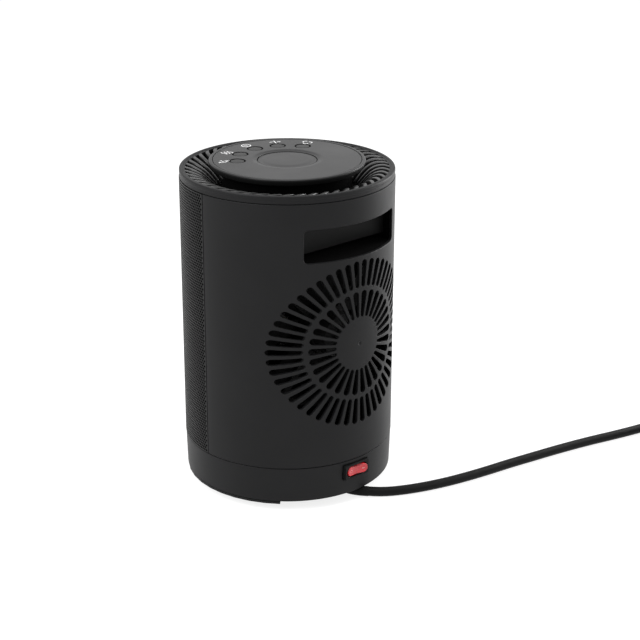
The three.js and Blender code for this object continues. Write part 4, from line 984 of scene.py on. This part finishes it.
def switch_bezel():
    """Rounded block in the window of the base, proud of the wall, with the rocker's mouth."""
    sheet = Sheet(lambda x, z: (x, SWITCH_FACE, z), lambda x, z: (x, SWITCH_FACE - BEZEL_DEPTH, z),
                  lambda x, z: (0.0, 1.0, 0.0), 0.4)
    block = box_outline(BEZEL[0] / 2, -BEZEL[1] / 2, BEZEL[1] / 2, 0.9)
    mouth = pill_outline(PILL[0] + 1.7, PILL[1] + 0.8)
    sheet.straight(split_long(at_switch(block), 3), 0.3, 1)
    sheet.straight(split_long(at_switch(mouth), 3), 0.55, 1, hole=True, depth=0.6)
    shell, normals = sheet.build([])
    add_piece("bezel_frame", "recess", shell, normals=normals, replaces=["switch_bezel"])


def rocker_face(x):
    """How far the rocker's face stands out at x: pressed in at +X, proud at -X, dished between."""
    along = x - SWITCH_AT[0]
    share = min(1.0, 2 * abs(along) / PILL[0])
    dish = 1.5 * (1 - share ** 1.7)
    return SWITCH_FACE + 0.85 - along * math.tan(math.radians(6)) - dish


def rocker():
    """Pill-shaped key, its two wings meeting in a shallow dish, with its two marks."""
    def normal(x, _z):
        slope = (rocker_face(x + 0.05) - rocker_face(x - 0.05)) / 0.1
        return tuple(unit(np.array([-slope, 1.0, 0.0])))

    sheet = Sheet(
        lambda x, z: (x, rocker_face(x), z), lambda x, z: (x, SWITCH_FACE - PILL_DEPTH, z), normal, 0.5,
    )
    rim = sheet.straight(split_long(at_switch(pill_outline(*PILL, steps=14)), 1.0), 0.5, 1)
    grid = at_switch([(x, z) for x in np.linspace(-9, 9, 25) for z in np.linspace(-3.6, 3.6, 7)])
    shell, normals = sheet.build([point for point in grid if inside(rim, point)])
    add_piece("rocker_key", "rocker", shell, "rocker", normals=normals, replaces=["rocker"], slot="rocker")

    def mark(name, outer, hole, along):
        rows = []
        for outline, lift in ((outer, -0.1), (outer, 0.03), (hole, 0.03), (hole, -0.1)):
            placed = at_switch([(x + along, z) for x, z in outline])
            rows.append([(x, rocker_face(x) + lift, z) for x, z in placed])
        add_piece(name, "faint", skin(rows, joined=True), "rocker", 30, slot="rocker")

    mark("mark_off", circle_outline(1.3), circle_outline(1.05), 5.6)
    bar = box_outline(1.0, -0.28, 0.28, 0.1, 2)
    mark("mark_on", bar, [(x * 0.2, z * 0.2) for x, z in bar], -5.6)


# ---------------- top ring
def dish(r):
    """Height of the vanes' upper face."""
    return RING_HIGH - 0.8 - 17.5 * max(0.0, (73.5 - r) / 22.5) ** 2


def swirl(r):
    """How far a vane has turned, in radians, from the rim to this radius."""
    share = min(max((76 - r) / 13.6, 0.0), 1.147)
    return 0.234 * share - 0.102 * share ** 2


def top_ring():
    """Rim with a bead, swirled vanes that sink towards the middle, and the ring that ends them, painted shade
    black.
    """
    rim = lathe(rounded([
        (76.0, RING_HIGH - 2.7), (76.0, RING_HIGH - 0.5, 0.4), (77.4, RING_HIGH - 0.5, 0.3),
        (77.9, RING_HIGH, 0.3), (RING_RADIUS, RING_HIGH, 0.9), (RING_RADIUS, RING_HIGH - 3.0, 0.5),
        (RING_RADIUS - 0.25, RING_HIGH - 3.3, 0.5), (RING_RADIUS + 0.05, RING_LOW, 0.45),
        (76.9, RING_LOW), (76.9, RING_LOW - 3), (75.5, RING_LOW - 3), (75.5, RING_LOW + 1),
    ], 5), 160)
    inner = dish(51.0)
    hub = lathe(rounded([
        (44.6, inner - 3), (51.6, inner - 3), (51.6, inner + 0.1, 0.6), (48.6, inner + 0.1, 0.6),
        (48.6, inner - 1.2), (44.6, inner - 1.2),
    ], 3), 96)
    # painted shade: the hub at the vanes' inner ends is near black, standing in for the shade under the disc
    add_piece("vane_hub", "painted_shade", hub)
    add_piece("ring_rim", "housing", rim)
    vanes = []
    pitch = 2 * math.pi / VANES
    radii = [76.6, 76, 75, 74, 73, 72, 70.5, 69, 67, 65, 63, 61, 58.5, 56, 53.5, 51.2]
    for vane in range(VANES):
        rows = []
        for r in radii:
            half = pitch * r / 4
            top = min(dish(r), RING_HIGH - 0.6)
            outline = rounded([(-half, top - 3), (half, top - 3), (half, top, 0.7), (-half, top, 0.7)], 3)
            at = math.radians(2.4) + vane * pitch + swirl(r)
            rows.append([(*polar(r, at + t / r), z) for t, z in outline])
        vanes.append(skin(rows))
    add_piece("vane_ring", "vanes", merge(*vanes), replaces=["louvre_ring"])


# ---------------- control disc
def flat_plate(name, radius, hole, low, high, soft, sag, **place):
    """Round plate with a middle hole and a hole for each key; sag lowers the face near the hole."""
    def normal(x, y):
        r = math.hypot(x, y)
        slope = (sag(r + 0.05) - sag(r - 0.05)) / 0.1
        return tuple(unit(np.array([x / r * slope, y / r * slope, 1.0])))

    sheet = Sheet(lambda x, y: (x, y, high - sag(math.hypot(x, y))), lambda x, y: (x, y, low), normal, 0.9)
    sheet.straight(circle_outline(radius, steps=128), soft, 2)
    sheet.straight(circle_outline(hole, steps=96), soft, 2, hole=True)
    for angle in KEY_ANGLES:
        key = circle_outline(KEY_RADIUS + 0.25, *polar(KEY_CIRCLE, angle), 36)
        sheet.straight(key, soft, 2, hole=True)
    reaches = (hole + 1.4, hole + 2.6, hole + 3.8, hole + 5.4, 32, 38, 44, 50)
    shell, normals = sheet.build([point for r in reaches for point in circle_outline(r, steps=72)])
    add_piece(name, "disc", shell, normals=normals, slot="disc", **place)


def button(name, body, finish, radius, at, top, crown, soft, stem):
    """Round push button: crowned cap with a soft rim, retaining flange and stem."""
    steps, low = 6, DISC_LOW - 0.4
    cap = [(radius * k / steps, top + crown * (1 - (k / steps) ** 2)) for k in range(steps)]
    profile = cap + rounded([
        (radius, top, soft), (radius, low), (radius + 1.1, low), (radius + 1.1, low - 1.2),
        (stem, low - 1.2), (stem, low - 5.5), (0, low - 5.5),
    ], 5)
    shell = moved(lathe(profile[::-1], 64 if radius > 10 else 40), (*at, 0))
    add_piece(name, finish, shell, body, 40, replaces=[body], slot="disc")


def control_disc():
    """Raised disc whose side curves under, its plate and skirt, the panel let into it, and the keys; the
    lower side and the skirt are painted shade black.
    """
    rim = lathe(rounded([
        (55.5, DISC_LOW), (DISC_RADIUS - 1.6, DISC_LOW, 1.2), (DISC_RADIUS, DISC_HIGH, 1.5),
        (55.55, DISC_HIGH, 0.45), (55.55, DISC_LOW + 2.8),
    ], 8), 160)
    piece = add_piece("disc_rim", "disc", rim, replaces=["control_housing"], slot="disc")
    # painted shade: the rim's side below this height takes the darker inner finish, standing in for the shade
    # under the rounded edge
    side = (DISC_HIGH - 0.75) * MM
    finish_where(piece, "inner", lambda face: face.center.z < side)
    flat_plate("disc_plate", 55.6, CENTER_RADIUS + 0.4, DISC_LOW, PANEL_HIGH - PANEL_THICKNESS - 0.3, 0.1,
               lambda r: 0.0)
    skirt_low, skirt_high = DISC_LOW - 16.5, DISC_LOW + 0.1
    skirt = lathe([(45.6, skirt_low), (48.0, skirt_low), (48.0, skirt_high), (45.6, skirt_high)], 96)
    # painted shade: the skirt under the disc is near black, standing in for the shade beneath the disc
    add_piece("disc_skirt", "painted_shade", skirt, slot="inner")
    flat_plate("panel_face", PANEL_RADIUS, CENTER_RADIUS + 0.3, PANEL_HIGH - PANEL_THICKNESS, PANEL_HIGH,
               0.25, lambda r: 0.75 * eased(min(max((26.5 - r) / 4.0, 0.0), 1.0)),
               replaces=["control_panel"])
    button("button_middle", "center_button", "disc", CENTER_RADIUS, (0, 0), PANEL_HIGH - 0.75, 0.25, 0.6, 4)
    for i, angle in enumerate(KEY_ANGLES, 1):
        button(f"key_cap_{i}", f"key_button_{i}", "keys", KEY_RADIUS, polar(KEY_CIRCLE, angle),
               PANEL_HIGH - 0.35, 0.2, 0.45, 2.2)


# ---------------- printed signs
def stroke(line, width=0.85):
    """A printed line: a thin closed ribbon on the panel."""
    line = np.array(line, float)
    side = -outline_normals(line, closed=False) * width / 2
    low, high = PANEL_HIGH - 0.05, PANEL_HIGH + 0.03
    return skin([[(*p + s, low), (*p - s, low), (*p - s, high), (*p + s, high)] for p, s in zip(line, side)])


def wave(x, low, high, swing, steps=14):
    return [(x + swing * math.sin(2 * math.pi * k / steps), low + (high - low) * k / steps)
            for k in range(steps + 1)]


def printed_signs():
    """The five signs beside the keys: fan, step up and down, timer, heat, swing."""
    signs = {
        "sign_fan": [arc(1.9, start - 75, start + 105, 12, *polar(2.1, math.radians(start)))
                     for start in (20, 140, 260)],
        "sign_steps": [[(-4.2, 1.3), (-1.2, 1.3)], [(-2.7, -0.2), (-2.7, 2.8)], [(-1.3, -3.2), (1.7, 3.4)],
                       [(1.2, -1.6), (4.2, -1.6)]],
        "sign_timer": [arc(3.5, 0, 360, 30), [(0, 2.2), (0, 0)], [(0, 0), (1.7, -0.9)]],
        "sign_heat": [wave(x, -3.4, 3.4, 0.8) for x in (-2.8, 0, 2.8)],
        "sign_swing": [arc(4.0, 25, 155, 16, 0, -1.6), [(2.1, -0.6), (3.6, 0.1), (4.5, 1.7)],
                       [(-2.1, -0.6), (-3.6, 0.1), (-4.5, 1.7)], [(0, -3.2), (0, 0.6)]],
    }
    for (name, lines), angle in zip(signs.items(), KEY_ANGLES):
        shell = moved(merge(*map(stroke, lines)), (*polar(SIGN_CIRCLE, angle), 0))
        add_piece(name, "print", shell, sharp=30, slot="disc")


# ---------------- stage
def sees_stage(nodes, links):
    """1 for rays that show the stage itself: the camera's, and those off gloss or through glass."""
    path = nodes.new("ShaderNodeLightPath")
    result = path.outputs["Is Camera Ray"]
    for kind in ("Is Glossy Ray", "Is Transmission Ray"):
        either = nodes.new("ShaderNodeMath")
        either.operation = "MAXIMUM"
        links.new(result, either.inputs[0])
        links.new(path.outputs[kind], either.inputs[1])
        result = either.outputs[0]
    return result


def add_stage():
    """Pale floor and world that are seen white, with the object's shadow on the floor."""
    floor = Shading("stage_floor", Roughness=0.8, Specular_IOR_Level=0.0, Emission_Color=(1, 1, 1, 1))
    seen = sees_stage(floor.nodes, floor.links)
    floor.colors(seen, (0.8, 0.8, 0.8), (0.3, 0.3, 0.3))
    floor.links.new(floor.spread(seen, 0, 0.82, 0, 1), floor.shader.inputs["Emission Strength"])
    mesh = bpy.data.meshes.new("stage_floor")
    mesh.from_pydata([(-4, -4, 0), (4, -4, 0), (4, 4, 0), (-4, 4, 0)], [], [(0, 1, 2, 3)])
    mesh.materials.append(floor.material)
    add_object("stage_floor", mesh)

    world = bpy.data.worlds.new("studio")
    bpy.context.scene.world = world
    world.use_nodes = True
    nodes, links = world.node_tree.nodes, world.node_tree.links
    back = nodes["Background"]
    back.inputs["Color"].default_value = (WORLD_GREY, WORLD_GREY, WORLD_GREY, 1)
    white = nodes.new("ShaderNodeBackground")
    white.inputs["Color"].default_value = (1, 1, 1, 1)
    mix = nodes.new("ShaderNodeMixShader")
    links.new(sees_stage(nodes, links), mix.inputs["Fac"])
    links.new(back.outputs[0], mix.inputs[1])
    links.new(white.outputs[0], mix.inputs[2])
    links.new(mix.outputs[0], nodes["World Output"].inputs["Surface"])


def add_lamp(name, at, towards, size, power):
    data = bpy.data.lights.new(name, "AREA")
    data.shape = "RECTANGLE"
    data.size, data.size_y = size
    data.energy = power
    turn = (Vector(towards) - Vector(at)).to_track_quat("-Z", "Y").to_matrix().to_4x4()
    add_object(name, data).matrix_world = Matrix.Translation(at) @ turn


finish_frame_nodes()
rear_shell()
handle_pocket()
front_mesh()
base_wall()
base_floor()
switch_bezel()
rocker()
top_ring()
control_disc()
printed_signs()
add_stage()
for lamp in LAMPS:
    add_lamp(*lamp)
bpy.context.scene.view_settings.view_transform = "Standard"
